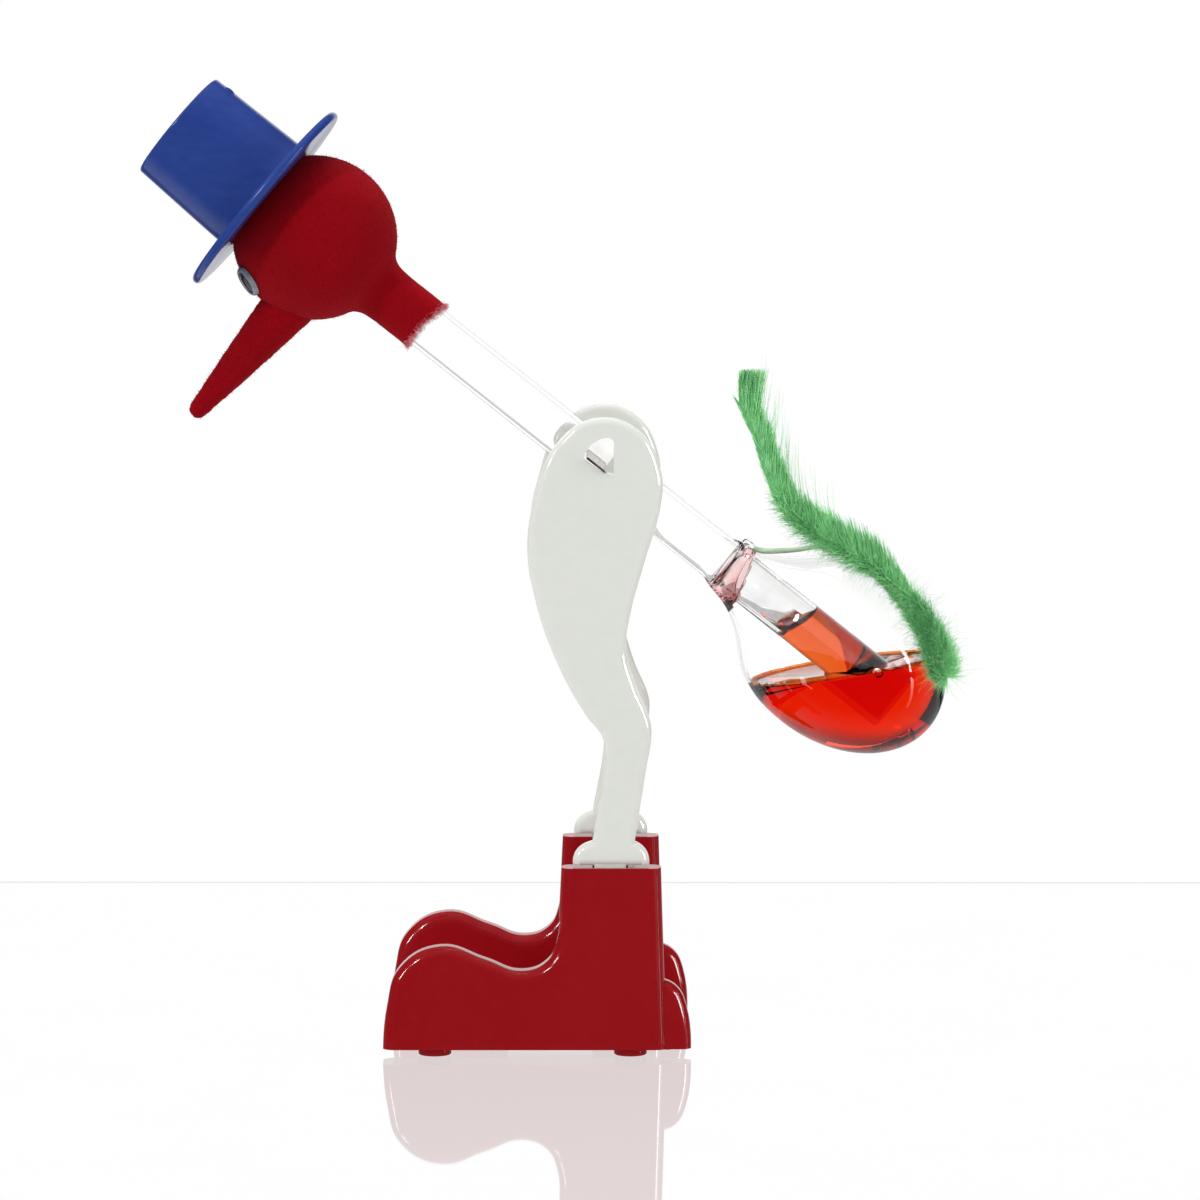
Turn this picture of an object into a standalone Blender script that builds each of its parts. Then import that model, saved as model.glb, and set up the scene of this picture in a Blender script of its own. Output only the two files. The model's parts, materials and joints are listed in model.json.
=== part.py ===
"""Drinking bird desk toy: a glass bird that rocks on a metal clip between two booted legs.

World frame: the bird faces -X, +Y is its right-hand side, +Z is up and the stand rests on z = 0.
The bird is modelled upright about its pivot and leans forward with the empty that carries it.
"""

import math

import bmesh
import bpy
from mathutils import Matrix, Vector

MM = 0.001

# Stance
PIVOT_HEIGHT = 0.0922
PIVOT_X = 0.00834
LEAN = math.radians(51.5)

# Clearance between pieces that touch
GAP = 0.0003

# Glass: the tube stands slightly in front of the pivot
TUBE_X = -0.0006
TUBE_RADIUS = 0.0038
TUBE_BORE = 0.00305
DIP_END = -0.0575
HEAD_Z = 0.0587
HEAD_GLASS_RADIUS = 0.0122
HEAD_GLASS_WALL = 0.00130
BULB_NECK_Z = -0.0251
BULB_WIDEST_Z = -0.0476
BULB_RADIUS = 0.0143
BULB_DEPTH = 0.0184
BULB_WALL = 0.0006
SHOULDER = ((4.45, -25.1), (5.2, -28.4), (6.5, -31.2), (8.7, -34.0), (11.7, -37.3), (13.4, -41.0))

# Liquid
POOL_TILT = math.radians(8.7)
POOL_POINT = Vector((0.0377, 0, -0.0325))
POOL_LIMIT_Z = -0.030
MENISCUS_FRONT_Z = -0.0389
MENISCUS_BACK_Z = -0.0416

# Head covering, beak and eyes
FELT_RADIUS = 0.01306
FELT_THICKNESS = 0.0005
SLEEVE_RADIUS = 0.0045
SLEEVE_END = 0.0368
FLARE_RADIUS = 0.0062
FLARE_WAIST_RADIUS = 0.0050
FLARE_WAIST_DROP = 0.0013
FLARE_HEIGHT = 0.0032
BEAK_ROOT_RADIUS = 0.0040
BEAK_TIP_RADIUS = 0.0011
BEAK_ROOT = 0.009
BEAK_STRAIGHT = 0.004
BEAK_TIP = 0.0342
BEAK_DROP = 0.0039
BEAK_PITCH = math.radians(2.7)
EYE_RADIUS = 0.0026
EYE_HEIGHT = 0.0009
PUPIL_RADIUS = 0.0017
PUPIL_GAP = 0.0002
PUPIL_RISE = 0.00015
EYE_DIRECTION = Vector((-11.7, 4.3, 3.9))

# Hat
BRIM_Z = 0.0688
BRIM_RADIUS = 0.0175
BRIM_THICKNESS = 0.0014
CROWN_HEIGHT = 0.0181
CROWN_RADIUS = 0.0100
CROWN_TOP_RADIUS = 0.0095
CROWN_EDGE = 0.0005
CROWN_WALL = 0.0009
HAT_LEAN = math.radians(1.5)
HAT_ROLL = math.radians(-2.0)

# Pivot clip: a band round the tube with a blade on each side
BLADE_HEIGHT = 0.0039
BLADE_THICKNESS = 0.0004
BLADE_END = 0.0204
BAND_BORE = 0.0041
BAND_RADIUS = 0.0045

# Legs
LEG_SPACING = 0.036
LEG_THICKNESS = 0.0030
LEG_FILLET = 0.0011
TENON_SIZE = Vector((0.0050, 0.0022, 0.0100))
TENON_CENTRE_X = 0.0006
TENON_TOP = -0.0600

# Boots
BOOT_SOLE = 0.0012
BOOT_TOP = 0.0299
BOOT_THICKNESS_TOP = 0.0048
BOOT_THICKNESS_SOLE = 0.0068
BOOT_FILLET = 0.0017
SPUR_INSET = 0.0008
SPUR_FILLET = 0.0014
TRIM_DEPTH = 0.0100
SLOT_DEPTH = 0.0078
PAD_RADIUS = 0.0026
PAD_HEIGHT = 0.0022
PAD_PLACES = {"front": -0.0271, "rear": 0.0038}
NUB_RADIUS = 0.0009
NUB_HEIGHT = 0.0030
NUB_X = 0.0096
NUB_DROP = 0.0004
BRIDGE_SIZE = Vector((0.0140, 0.0, 0.0024))
BRIDGE_X = -0.0090
BRIDGE_Z = 0.0040
BRIDGE_TONGUE = 0.0020

# Tail feather, in millimetres from the pivot: it hangs on the left of the lower bulb
QUILL_RADIUS = 0.00045
QUILL_ROUTE = (
    (25.2, -1.9, -13.2), (27.5, -2.5, -13.6), (30.0, -3.3, -13.4), (33.0, -4.4, -13.0),
    (36.0, -5.7, -13.0), (38.7, -7.0, -14.3), (42.0, -8.4, -17.6), (45.9, -9.2, -21.5),
    (49.0, -9.4, -25.0),
)
PLUME_Y = -0.0095
PLUME_ROUTE = (
    (22.6, 15.4), (24.3, 9.0), (27.3, 3.4), (31.4, -2.5), (36.6, -7.8), (41.2, -11.7),
    (46.1, -15.9), (50.1, -20.0), (53.4, -24.6), (55.2, -29.4), (55.0, -32.6),
)
PLUME_HALF_WIDTHS = (1.5, 2.0, 2.7, 3.2, 3.0, 2.8, 2.4, 2.2, 2.1, 2.0, 1.2)
PLUME_THICKNESS = 0.0020
GLUE_RADIUS = 0.0011
GLUE_PLACE = Vector((0.0053, -0.0008, -0.0252))

# Leg outline, in millimetres from the pivot; True marks a sharp corner
LEG_OUTLINE = (
    ((-1.5, 8.5), False), ((5.0, 6.6), False), ((8.5, 0.4), False), ((8.6, -4.8), False),
    ((6.0, -14.0), False), ((3.7, -22.6), False), ((3.1, -27.6), False), ((4.6, -33.6), False),
    ((6.9, -39.2), False), ((7.1, -41.2), False), ((6.2, -47.2), False), ((4.5, -58.0), True),
    ((6.0, -59.3), False), ((6.75, -61.6), True), ((-5.25, -61.6), True), ((-4.6, -59.3), False),
    ((-2.2, -58.2), True), ((-0.25, -45.4), False), ((-0.5, -42.0), False), ((-3.4, -38.0), False),
    ((-8.2, -28.9), False), ((-11.3, -19.4), False), ((-12.4, -11.4), False), ((-11.1, -3.6), False),
    ((-7.6, 4.7), False),
)

# Hole in the leg: its sloping side and its upright side stop the blade
HOLE_OUTLINE = (
    ((-0.42, -0.2), True), ((1.15, -0.2), True), ((1.15, 4.9), True), ((0.4, 5.45), False),
    ((-1.8, 4.75), False), ((-3.0, 3.6), False), ((-3.6, 2.5), True), ((-3.5, 2.0), True),
)

# Boot outline: millimetres from below the pivot and above the floor
BOOT_OUTLINE = (
    ((-35.4, -3.0), True), ((-34.6, 8.0), False), ((-32.6, 14.0), False), ((-26.2, 17.4), False),
    ((-19.0, 15.3), False), ((-13.4, 13.5), False), ((-9.4, 15.0), False), ((-7.7, 18.6), False),
    ((-7.4, 24.0), True), ((-6.9, 34.0), True), ((8.5, 34.0), True), ((9.6, -3.0), True),
)
SPUR_OUTLINE = (
    ((0.0, -3.7), True), ((13.4, -3.7), True), ((12.6, 8.0), False), ((10.9, 11.1), False),
    ((8.0, 12.2), False), ((0.0, 12.2), True),
)

bird_parts = None
cutters = None


def start_scene():
    """Empty the scene and make the two collections."""
    global bird_parts, cutters
    for old in list(bpy.data.objects):
        bpy.data.objects.remove(old, do_unlink=True)
    bird_parts = bpy.data.collections.new("drinking_bird")
    cutters = bpy.data.collections.new("cutters")
    bpy.context.scene.collection.children.link(bird_parts)
    bpy.context.scene.collection.children.link(cutters)


def material(name, colour, roughness, metallic=0.0, transmission=0.0):
    made = bpy.data.materials.new(name)
    made.use_nodes = True
    shader = made.node_tree.nodes["Principled BSDF"]
    shader.inputs["Base Color"].default_value = (*colour, 1.0)
    shader.inputs["Roughness"].default_value = roughness
    shader.inputs["Metallic"].default_value = metallic
    shader.inputs["Transmission Weight"].default_value = transmission
    made.diffuse_color = (*colour, 1.0)
    return made


def make_materials():
    return {
        "glass": material("clear_glass", (0.95, 0.97, 0.96), 0.02, transmission=1.0),
        "liquid": material("red_liquid", (0.75, 0.03, 0.005), 0.05, transmission=0.8),
        "felt": material("red_felt", (0.22, 0.004, 0.008), 0.95),
        "hat": material("blue_plastic", (0.02, 0.05, 0.28), 0.18),
        "boot": material("red_plastic", (0.28, 0.012, 0.015), 0.2),
        "leg": material("milky_plastic", (0.70, 0.71, 0.66), 0.3),
        "metal": material("nickel_sheet", (0.75, 0.75, 0.73), 0.2, metallic=1.0),
        "feather": material("green_feather", (0.12, 0.42, 0.14), 0.9),
        "quill": material("pale_quill", (0.45, 0.62, 0.42), 0.5),
        "glue": material("clear_glue", (0.45, 0.50, 0.42), 0.3),
        "eye": material("white_eye", (0.60, 0.62, 0.66), 0.15),
        "pupil": material("black_eye", (0.01, 0.01, 0.01), 0.1),
    }


def make_empty(name, location, lean, parent=None):
    empty = bpy.data.objects.new(name, None)
    empty.location = location
    empty.rotation_euler = (0, lean, 0)
    empty.parent = parent
    bird_parts.objects.link(empty)
    return empty


def place(obj, name, look, parent, location=(0, 0, 0), rotation=(0, 0, 0)):
    """Name an object, give it its material and hang it on its parent."""
    obj.name = name
    obj.data.name = name
    if look is not None:
        obj.data.materials.clear()
        obj.data.materials.append(look)
    obj.parent = parent
    obj.location = location
    obj.rotation_euler = rotation
    for home in list(obj.users_collection):
        home.objects.unlink(obj)
    bird_parts.objects.link(obj)
    return obj


def as_cutter(obj, parent, location=(0, 0, 0), rotation=(0, 0, 0)):
    obj.parent = parent
    obj.location = location
    obj.rotation_euler = rotation
    obj.hide_render = True
    obj.display_type = "WIRE"
    for home in list(obj.users_collection):
        home.objects.unlink(obj)
    cutters.objects.link(obj)
    return obj


def shade(obj, degrees=35.0):
    obj.data.shade_smooth()
    obj.data.set_sharp_from_angle(angle=math.radians(degrees))


def combine(obj, cutter, operation="DIFFERENCE", solver="EXACT"):
    step = obj.modifiers.new(operation.lower(), "BOOLEAN")
    step.operation = operation
    step.solver = solver
    step.object = cutter


def box(size):
    """A box with its own size in its mesh, centred on its origin."""
    mesh = bpy.data.meshes.new("box")
    shape = bmesh.new()
    bmesh.ops.create_cube(shape, size=1.0, matrix=Matrix.Diagonal((*size, 1.0)))
    shape.to_mesh(mesh)
    shape.free()
    return bpy.data.objects.new("box", mesh)


def cylinder(radius, height, segments=24):
    """An upright cylinder that stands on its origin."""
    mesh = bpy.data.meshes.new("cylinder")
    shape = bmesh.new()
    bmesh.ops.create_cone(
        shape, cap_ends=True, segments=segments, radius1=radius, radius2=radius, depth=height,
        matrix=Matrix.Translation((0, 0, height / 2)),
    )
    shape.to_mesh(mesh)
    shape.free()
    return bpy.data.objects.new("cylinder", mesh)


def ball(radius, segments=24):
    mesh = bpy.data.meshes.new("ball")
    shape = bmesh.new()
    bmesh.ops.create_uvsphere(shape, u_segments=segments, v_segments=segments // 2, radius=radius)
    shape.to_mesh(mesh)
    shape.free()
    return bpy.data.objects.new("ball", mesh)


def turned(profile, steps=32, closed=False):
    """Turn a profile of (radius, height) points, which runs down its outer side, about Z."""
    mesh = bpy.data.meshes.new("turned")
    shape = bmesh.new()
    points = [shape.verts.new((radius, 0, height)) for radius, height in profile]
    for first, second in zip(points, points[1:]):
        shape.edges.new((first, second))
    if closed:
        shape.edges.new((points[-1], points[0]))
    shape.to_mesh(mesh)
    shape.free()
    obj = bpy.data.objects.new("turned", mesh)
    screw = obj.modifiers.new("turn", "SCREW")
    screw.axis = "Z"
    screw.steps = steps
    screw.render_steps = steps
    screw.use_merge_vertices = True
    screw.merge_threshold = 0.00001
    screw.use_smooth_shade = True
    return obj


def arc(centre_z, radius, start, end, count):
    """Points of a circle about the axis; the angle is measured down from the top."""
    angles = [start + (end - start) * step / count for step in range(count + 1)]
    return [(radius * math.sin(angle), centre_z + radius * math.cos(angle)) for angle in angles]


def flat_outline(outline, thickness, resolution=3):
    """Fill a closed outline in the XZ plane and give it a thickness along Y, as a mesh."""
    curve = bpy.data.curves.new("outline", "CURVE")
    curve.dimensions = "2D"
    curve.fill_mode = "BOTH"
    curve.extrude = thickness / 2
    curve.resolution_u = resolution
    spline = curve.splines.new("BEZIER")
    spline.bezier_points.add(len(outline) - 1)
    spline.use_cyclic_u = True
    for knot, ((x, z), corner) in zip(spline.bezier_points, outline):
        knot.co = (x * MM, z * MM, 0)
        kind = "VECTOR" if corner else "AUTO"
        knot.handle_left_type = kind
        knot.handle_right_type = kind
    guide = bpy.data.objects.new("outline", curve)
    bpy.context.scene.collection.objects.link(guide)
    bpy.context.view_layer.update()
    evaluated = guide.evaluated_get(bpy.context.evaluated_depsgraph_get())
    mesh = bpy.data.meshes.new_from_object(evaluated)
    bpy.data.objects.remove(guide)
    bpy.data.curves.remove(curve)
    shape = bmesh.new()
    shape.from_mesh(mesh)
    bmesh.ops.remove_doubles(shape, verts=shape.verts, dist=0.000005)
    bmesh.ops.rotate(shape, verts=shape.verts, matrix=Matrix.Rotation(math.radians(90), 3, "X"))
    bmesh.ops.dissolve_limit(
        shape, angle_limit=0.0001, verts=shape.verts, edges=[e for e in shape.edges if flat_edge(e)]
    )
    bmesh.ops.recalc_face_normals(shape, faces=shape.faces)
    shape.to_mesh(mesh)
    shape.free()
    return bpy.data.objects.new("outline", mesh)


def flat_edge(edge):
    """Whether an edge lies inside one of the two flat sides."""
    return len(edge.link_faces) == 2 and all(abs(face.normal.y) > 0.99 for face in edge.link_faces)


def round_rim(obj, width, segments=3):
    """Round the rim between the flat sides and the edge of an outline solid."""
    bevel = obj.modifiers.new("rim", "BEVEL")
    bevel.width = width
    bevel.segments = segments
    bevel.limit_method = "ANGLE"
    bevel.angle_limit = math.radians(60)
    bevel.use_clamp_overlap = False


def glass_tube(looks, bird):
    """Head bulb and tube in one piece, open at the dip end."""
    join_angle = math.pi - math.asin(TUBE_RADIUS / HEAD_GLASS_RADIUS)
    inner_radius = HEAD_GLASS_RADIUS - HEAD_GLASS_WALL
    inner_angle = math.pi - math.asin(TUBE_BORE / inner_radius)
    outside = arc(HEAD_Z, HEAD_GLASS_RADIUS, 0, join_angle, 12)
    inside = arc(HEAD_Z, inner_radius, inner_angle, 0, 12)
    rim = [(TUBE_RADIUS, DIP_END), (TUBE_BORE, DIP_END)]
    obj = turned(outside + rim + inside, steps=28)
    place(obj, "glass_tube", looks["glass"], bird, (TUBE_X, 0, 0))


def bulb_profile(inset, steps=10):
    """Outside of the lower bulb from its neck to its lowest point, moved inwards by an inset."""
    shoulder = [(radius * MM, height * MM) for radius, height in SHOULDER]
    angles = [math.pi / 2 * step / steps for step in range(steps + 1)]
    belly = [
        (BULB_RADIUS * math.cos(angle), BULB_WIDEST_Z - BULB_DEPTH * math.sin(angle))
        for angle in angles
    ]
    outside = shoulder + belly
    moved = []
    for number, (radius, height) in enumerate(outside):
        before = outside[max(number - 1, 0)]
        after = outside[min(number + 1, len(outside) - 1)]
        run = Vector((after[0] - before[0], after[1] - before[1])).normalized()
        moved.append((max(radius + run.y * inset, 0.0), height - run.x * inset))
    moved[-1] = (0.0, outside[-1][1] + inset)
    return moved


def lower_bulb(looks, bird):
    """Pear-shaped bulb, open where its neck closes round the tube."""
    outside = bulb_profile(0.0)
    inside = bulb_profile(BULB_WALL)
    inside[0] = (TUBE_RADIUS + GAP, BULB_NECK_Z)
    obj = turned(list(reversed(inside)) + outside, steps=32)
    place(obj, "lower_bulb", looks["glass"], bird, (TUBE_X, 0, 0))


def liquid_pool(looks, bird, root):
    """The liquid in the lower bulb, with its tilted surface and the tube standing in it."""
    inside = [point for point in bulb_profile(BULB_WALL + GAP) if point[1] < POOL_LIMIT_Z]
    obj = turned([(0.0, inside[0][1])] + inside, steps=32)
    place(obj, "liquid_pool", looks["liquid"], bird, (TUBE_X, 0, 0))
    depth = 0.04
    lid = box(Vector((0.12, 0.06, depth)))
    above = Matrix.Rotation(-POOL_TILT, 3, "Y") @ Vector((0, 0, depth / 2))
    as_cutter(lid, root, Vector((PIVOT_X, 0, PIVOT_HEIGHT)) + POOL_POINT + above, (0, -POOL_TILT, 0))
    combine(obj, lid)
    well = cylinder(TUBE_RADIUS + GAP, 0.03, 28)
    as_cutter(well, bird, (TUBE_X, 0, DIP_END - GAP))
    combine(obj, well)


def liquid_column(looks, bird):
    """The liquid in the tube, up to a slanted surface."""
    bottom = DIP_END + 0.0004
    middle = (MENISCUS_FRONT_Z + MENISCUS_BACK_Z) / 2
    obj = cylinder(TUBE_BORE - GAP, middle - bottom, 24)
    slope = (MENISCUS_BACK_Z - MENISCUS_FRONT_Z) / (2 * TUBE_BORE)
    for vertex in obj.data.vertices:
        if vertex.co.z > (middle - bottom) / 2:
            vertex.co.z += slope * vertex.co.x
    place(obj, "liquid_column", looks["liquid"], bird, (TUBE_X, 0, bottom))


def pivot_clip(looks, bird):
    """Sheet-metal band round the tube, with a knife-edged blade out through each leg."""
    obj = turned(
        [(BAND_RADIUS, BLADE_HEIGHT), (BAND_RADIUS, 0), (BAND_BORE, 0), (BAND_BORE, BLADE_HEIGHT)],
        steps=28, closed=True,
    )
    place(obj, "pivot_clip", looks["metal"], bird, (TUBE_X, 0, 0))
    root_y = BAND_RADIUS - 0.0003
    for side in (-1, 1):
        blade = box(Vector((BLADE_THICKNESS, BLADE_END - root_y, BLADE_HEIGHT - 0.00002)))
        as_cutter(blade, bird, (0, side * (BLADE_END + root_y) / 2, BLADE_HEIGHT / 2))
        combine(obj, blade, "UNION")


def head_felt(looks, bird):
    """Thin felt skin over the head bulb, with a sleeve down the neck."""
    inner_radius = FELT_RADIUS - FELT_THICKNESS
    outer_end = math.pi - math.asin(FLARE_RADIUS / FELT_RADIUS)
    inner_end = math.pi - math.asin((FLARE_RADIUS - FELT_THICKNESS) / inner_radius)
    flare_top = HEAD_Z - HEAD_GLASS_RADIUS
    waist = flare_top - FLARE_WAIST_DROP
    sleeve_top = flare_top - FLARE_HEIGHT
    sleeve_bore = TUBE_RADIUS + GAP
    outside = arc(HEAD_Z, FELT_RADIUS, 0, outer_end, 13)
    outside += [(FLARE_WAIST_RADIUS, waist), (SLEEVE_RADIUS, sleeve_top), (SLEEVE_RADIUS, SLEEVE_END)]
    inside = [(sleeve_bore, SLEEVE_END), (sleeve_bore, sleeve_top)]
    inside.append((FLARE_WAIST_RADIUS - FELT_THICKNESS, waist))
    inside += arc(HEAD_Z, inner_radius, inner_end, 0, 13)
    obj = turned(outside + inside, steps=28)
    place(obj, "head_felt", looks["felt"], bird, (TUBE_X, 0, 0))


def beak(looks, bird):
    """Pointed beak, hollowed at its root to sit against the head."""
    tip = [
        (BEAK_TIP_RADIUS * math.sin(angle), BEAK_TIP - BEAK_TIP_RADIUS * (1 - math.cos(angle)))
        for angle in [math.pi / 2 * step / 4 for step in range(5)]
    ]
    root = [(BEAK_ROOT_RADIUS, BEAK_ROOT + BEAK_STRAIGHT), (BEAK_ROOT_RADIUS, BEAK_ROOT)]
    profile = tip + root
    obj = turned(profile + [(0.0, BEAK_ROOT)], steps=24)
    centre = Vector((TUBE_X, 0, HEAD_Z))
    turn = -math.pi / 2 + BEAK_PITCH
    place(obj, "beak", looks["felt"], bird, centre - Vector((0, 0, BEAK_DROP)), (0, turn, 0))
    seat = ball(FELT_RADIUS + GAP, 32)
    as_cutter(seat, bird, centre)
    combine(obj, seat)


def eyes(looks, bird):
    """A pale domed ring with a black pupil on each side of the head."""
    opening = PUPIL_RADIUS + PUPIL_GAP
    crest = (opening + EYE_RADIUS) / 2
    ring = [
        (opening, EYE_HEIGHT), (crest, EYE_HEIGHT * 0.8), (EYE_RADIUS, EYE_HEIGHT * 0.3),
        (EYE_RADIUS, 0), (opening, 0),
    ]
    button = [
        (0.0, EYE_HEIGHT + PUPIL_RISE), (PUPIL_RADIUS * 0.7, EYE_HEIGHT + PUPIL_RISE * 0.7),
        (PUPIL_RADIUS, EYE_HEIGHT - PUPIL_RISE), (PUPIL_RADIUS, 0), (0.0, 0.0),
    ]
    for name, side in (("left", -1), ("right", 1)):
        out = Vector((EYE_DIRECTION.x, EYE_DIRECTION.y * side, EYE_DIRECTION.z)).normalized()
        spot = Vector((TUBE_X, 0, HEAD_Z)) + out * (FELT_RADIUS + 0.0001)
        turn = out.to_track_quat("Z", "Y").to_euler()
        place(turned(ring, 20, closed=True), f"{name}_eye", looks["eye"], bird, spot, turn)
        place(turned(button, 16), f"{name}_pupil", looks["pupil"], bird, spot, turn)


def hat(looks, bird):
    """Hollow top hat whose brim has a rounded edge."""
    under = -BRIM_THICKNESS / 2
    upper = BRIM_THICKNESS / 2
    edge = BRIM_RADIUS - BRIM_THICKNESS / 2
    brim_edge = [
        (edge + upper * math.sin(angle), upper * math.cos(angle))
        for angle in [math.pi * step / 4 for step in range(5)]
    ]
    profile = [
        (0.0, CROWN_HEIGHT), (CROWN_TOP_RADIUS - CROWN_EDGE, CROWN_HEIGHT),
        (CROWN_TOP_RADIUS, CROWN_HEIGHT - CROWN_EDGE), (CROWN_RADIUS, upper),
    ]
    profile += brim_edge
    profile += [
        (CROWN_RADIUS, under), (CROWN_RADIUS - CROWN_WALL, CROWN_WALL),
        (CROWN_TOP_RADIUS - CROWN_WALL, CROWN_HEIGHT - CROWN_WALL),
        (0.0, CROWN_HEIGHT - CROWN_WALL),
    ]
    obj = turned(profile, steps=32)
    place(obj, "hat", looks["hat"], bird, (TUBE_X, 0, BRIM_Z), (HAT_ROLL, HAT_LEAN, 0))


def feather(looks, bird):
    """Bare quill glued to the neck, the plume that folds back over it, and the glue."""
    pivot = Vector((PIVOT_X, 0, PIVOT_HEIGHT))
    to_bird = (Matrix.Translation(pivot) @ Matrix.Rotation(-LEAN, 4, "Y")).inverted()
    curve = bpy.data.curves.new("quill", "CURVE")
    curve.dimensions = "3D"
    curve.bevel_depth = QUILL_RADIUS
    curve.bevel_resolution = 2
    curve.use_fill_caps = True
    spline = curve.splines.new("POLY")
    spline.points.add(len(QUILL_ROUTE) - 1)
    for knot, (x, y, z) in zip(spline.points, QUILL_ROUTE):
        spot = to_bird @ (pivot + Vector((x, y, z)) * MM)
        knot.co = (*spot, 1.0)
    place(bpy.data.objects.new("quill", curve), "feather_quill", looks["quill"], bird)
    plume = flat_outline(plume_outline(), PLUME_THICKNESS, resolution=1)
    round_rim(plume, PLUME_THICKNESS * 0.4, 1)
    place(plume, "feather_plume", looks["feather"], bird, (0, PLUME_Y, 0), (0, LEAN, 0))
    blob = ball(GLUE_RADIUS, 12)
    place(blob, "feather_glue", looks["glue"], bird, GLUE_PLACE)


def plume_outline():
    """Walk down one side of the plume and back up the other."""
    left = []
    right = []
    last = len(PLUME_ROUTE) - 1
    for number, (x, z) in enumerate(PLUME_ROUTE):
        before = Vector(PLUME_ROUTE[max(number - 1, 0)])
        after = Vector(PLUME_ROUTE[min(number + 1, last)])
        run = (after - before).normalized()
        side = Vector((-run.y, run.x)) * PLUME_HALF_WIDTHS[number]
        left.append(((x + side.x, z + side.y), False))
        right.append(((x - side.x, z - side.y), False))
    return left + list(reversed(right))


def leg(looks, root, name, side):
    """Flat moulded leg with a pivot hole, ankle cuffs and a tenon for the boot."""
    obj = flat_outline(LEG_OUTLINE, LEG_THICKNESS)
    round_rim(obj, LEG_FILLET)
    spot = Vector((PIVOT_X, side * LEG_SPACING / 2, PIVOT_HEIGHT))
    place(obj, name, looks["leg"], root, spot)
    hole = flat_outline(HOLE_OUTLINE, LEG_THICKNESS * 3)
    as_cutter(hole, root, spot)
    combine(obj, hole)
    tenon = box(TENON_SIZE)
    drop = TENON_TOP - TENON_SIZE.z / 2
    as_cutter(tenon, root, spot + Vector((TENON_CENTRE_X, 0, drop)))
    combine(obj, tenon, "UNION")


def draft(obj, sole_thickness):
    """Thin an outline solid towards the top, as a moulding has to be."""
    slope = (BOOT_THICKNESS_TOP - BOOT_THICKNESS_SOLE) / (BOOT_TOP - BOOT_SOLE)
    for vertex in obj.data.vertices:
        wanted = sole_thickness + slope * (vertex.co.z - BOOT_SOLE)
        vertex.co.y = math.copysign(wanted / 2, vertex.co.y)


def boot_piece(outline, thickness, fillet, segments):
    """An outline solid with draft and rounded edges."""
    obj = flat_outline(outline, thickness)
    draft(obj, thickness)
    round_rim(obj, fillet, segments)
    return obj


def boot(looks, root, name, side):
    """Boot with a rounded toe, a straight shaft, a narrower heel spur and a slot for the leg."""
    spot = Vector((PIVOT_X, side * LEG_SPACING / 2, 0))
    obj = boot_piece(BOOT_OUTLINE, BOOT_THICKNESS_SOLE, BOOT_FILLET, 2)
    place(obj, name, looks["boot"], root, spot)
    spur = boot_piece(SPUR_OUTLINE, BOOT_THICKNESS_SOLE - 2 * SPUR_INSET, SPUR_FILLET, 2)
    as_cutter(spur, root, spot)
    combine(obj, spur, "UNION", "MANIFOLD")
    for edge, height in ((1, BOOT_TOP), (-1, BOOT_SOLE)):
        trim = box(Vector((0.08, 0.02, TRIM_DEPTH)))
        as_cutter(trim, root, spot + Vector((-0.01, 0, height + edge * TRIM_DEPTH / 2)))
        combine(obj, trim, solver="MANIFOLD")
    slot = box(TENON_SIZE + Vector((2 * GAP, 2 * GAP, 0)))
    slot_z = BOOT_TOP - SLOT_DEPTH - GAP + TENON_SIZE.z / 2
    as_cutter(slot, root, spot + Vector((TENON_CENTRE_X, 0, slot_z)))
    combine(obj, slot, solver="MANIFOLD")
    for pad_x in PAD_PLACES.values():
        seat = cylinder(PAD_RADIUS + GAP * 0.7, PAD_HEIGHT + GAP)
        as_cutter(seat, root, spot + Vector((pad_x, 0, 0)))
        combine(obj, seat, solver="MANIFOLD")
    pocket = box(BRIDGE_SIZE + Vector((2 * GAP, 2 * (BRIDGE_TONGUE + GAP), 2 * GAP)))
    face = side * (LEG_SPACING / 2 - BOOT_THICKNESS_SOLE / 2)
    as_cutter(pocket, root, Vector((PIVOT_X + BRIDGE_X, face, BRIDGE_Z)))
    combine(obj, pocket, solver="MANIFOLD")
    nub = cylinder(NUB_RADIUS, NUB_HEIGHT, 12)
    as_cutter(nub, root, spot + Vector((NUB_X, 0, BOOT_SOLE - NUB_DROP)))
    combine(obj, nub, "UNION", "MANIFOLD")


def boot_pads(looks, root, name, side):
    """Round pads that the boot stands on."""
    for end, pad_x in PAD_PLACES.items():
        spot = Vector((PIVOT_X + pad_x, side * LEG_SPACING / 2, 0))
        pad = cylinder(PAD_RADIUS, PAD_HEIGHT)
        place(pad, f"{name}_{end}_pad", looks["boot"], root, spot)
        shade(pad)


def base_bridge(looks, root):
    """Low bar that holds the boots apart, with an end in the side of each."""
    reach = LEG_SPACING / 2 - BOOT_THICKNESS_SOLE / 2 + BRIDGE_TONGUE
    bar = box(Vector((BRIDGE_SIZE.x, 2 * reach, BRIDGE_SIZE.z)))
    place(bar, "base_bridge", looks["boot"], root, (PIVOT_X + BRIDGE_X, 0, BRIDGE_Z))


def build():
    start_scene()
    looks = make_materials()
    root = make_empty("stand", (0, 0, 0), 0.0)
    bird = make_empty("bird", (PIVOT_X, 0, PIVOT_HEIGHT), -LEAN, root)
    for name, side in (("left", -1), ("right", 1)):
        leg(looks, root, f"{name}_leg", side)
        boot(looks, root, f"{name}_boot", side)
        boot_pads(looks, root, name, side)
    base_bridge(looks, root)
    glass_tube(looks, bird)
    lower_bulb(looks, bird)
    liquid_pool(looks, bird, root)
    liquid_column(looks, bird)
    pivot_clip(looks, bird)
    head_felt(looks, bird)
    beak(looks, bird)
    eyes(looks, bird)
    hat(looks, bird)
    feather(looks, bird)
    bpy.context.view_layer.update()


build()
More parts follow.
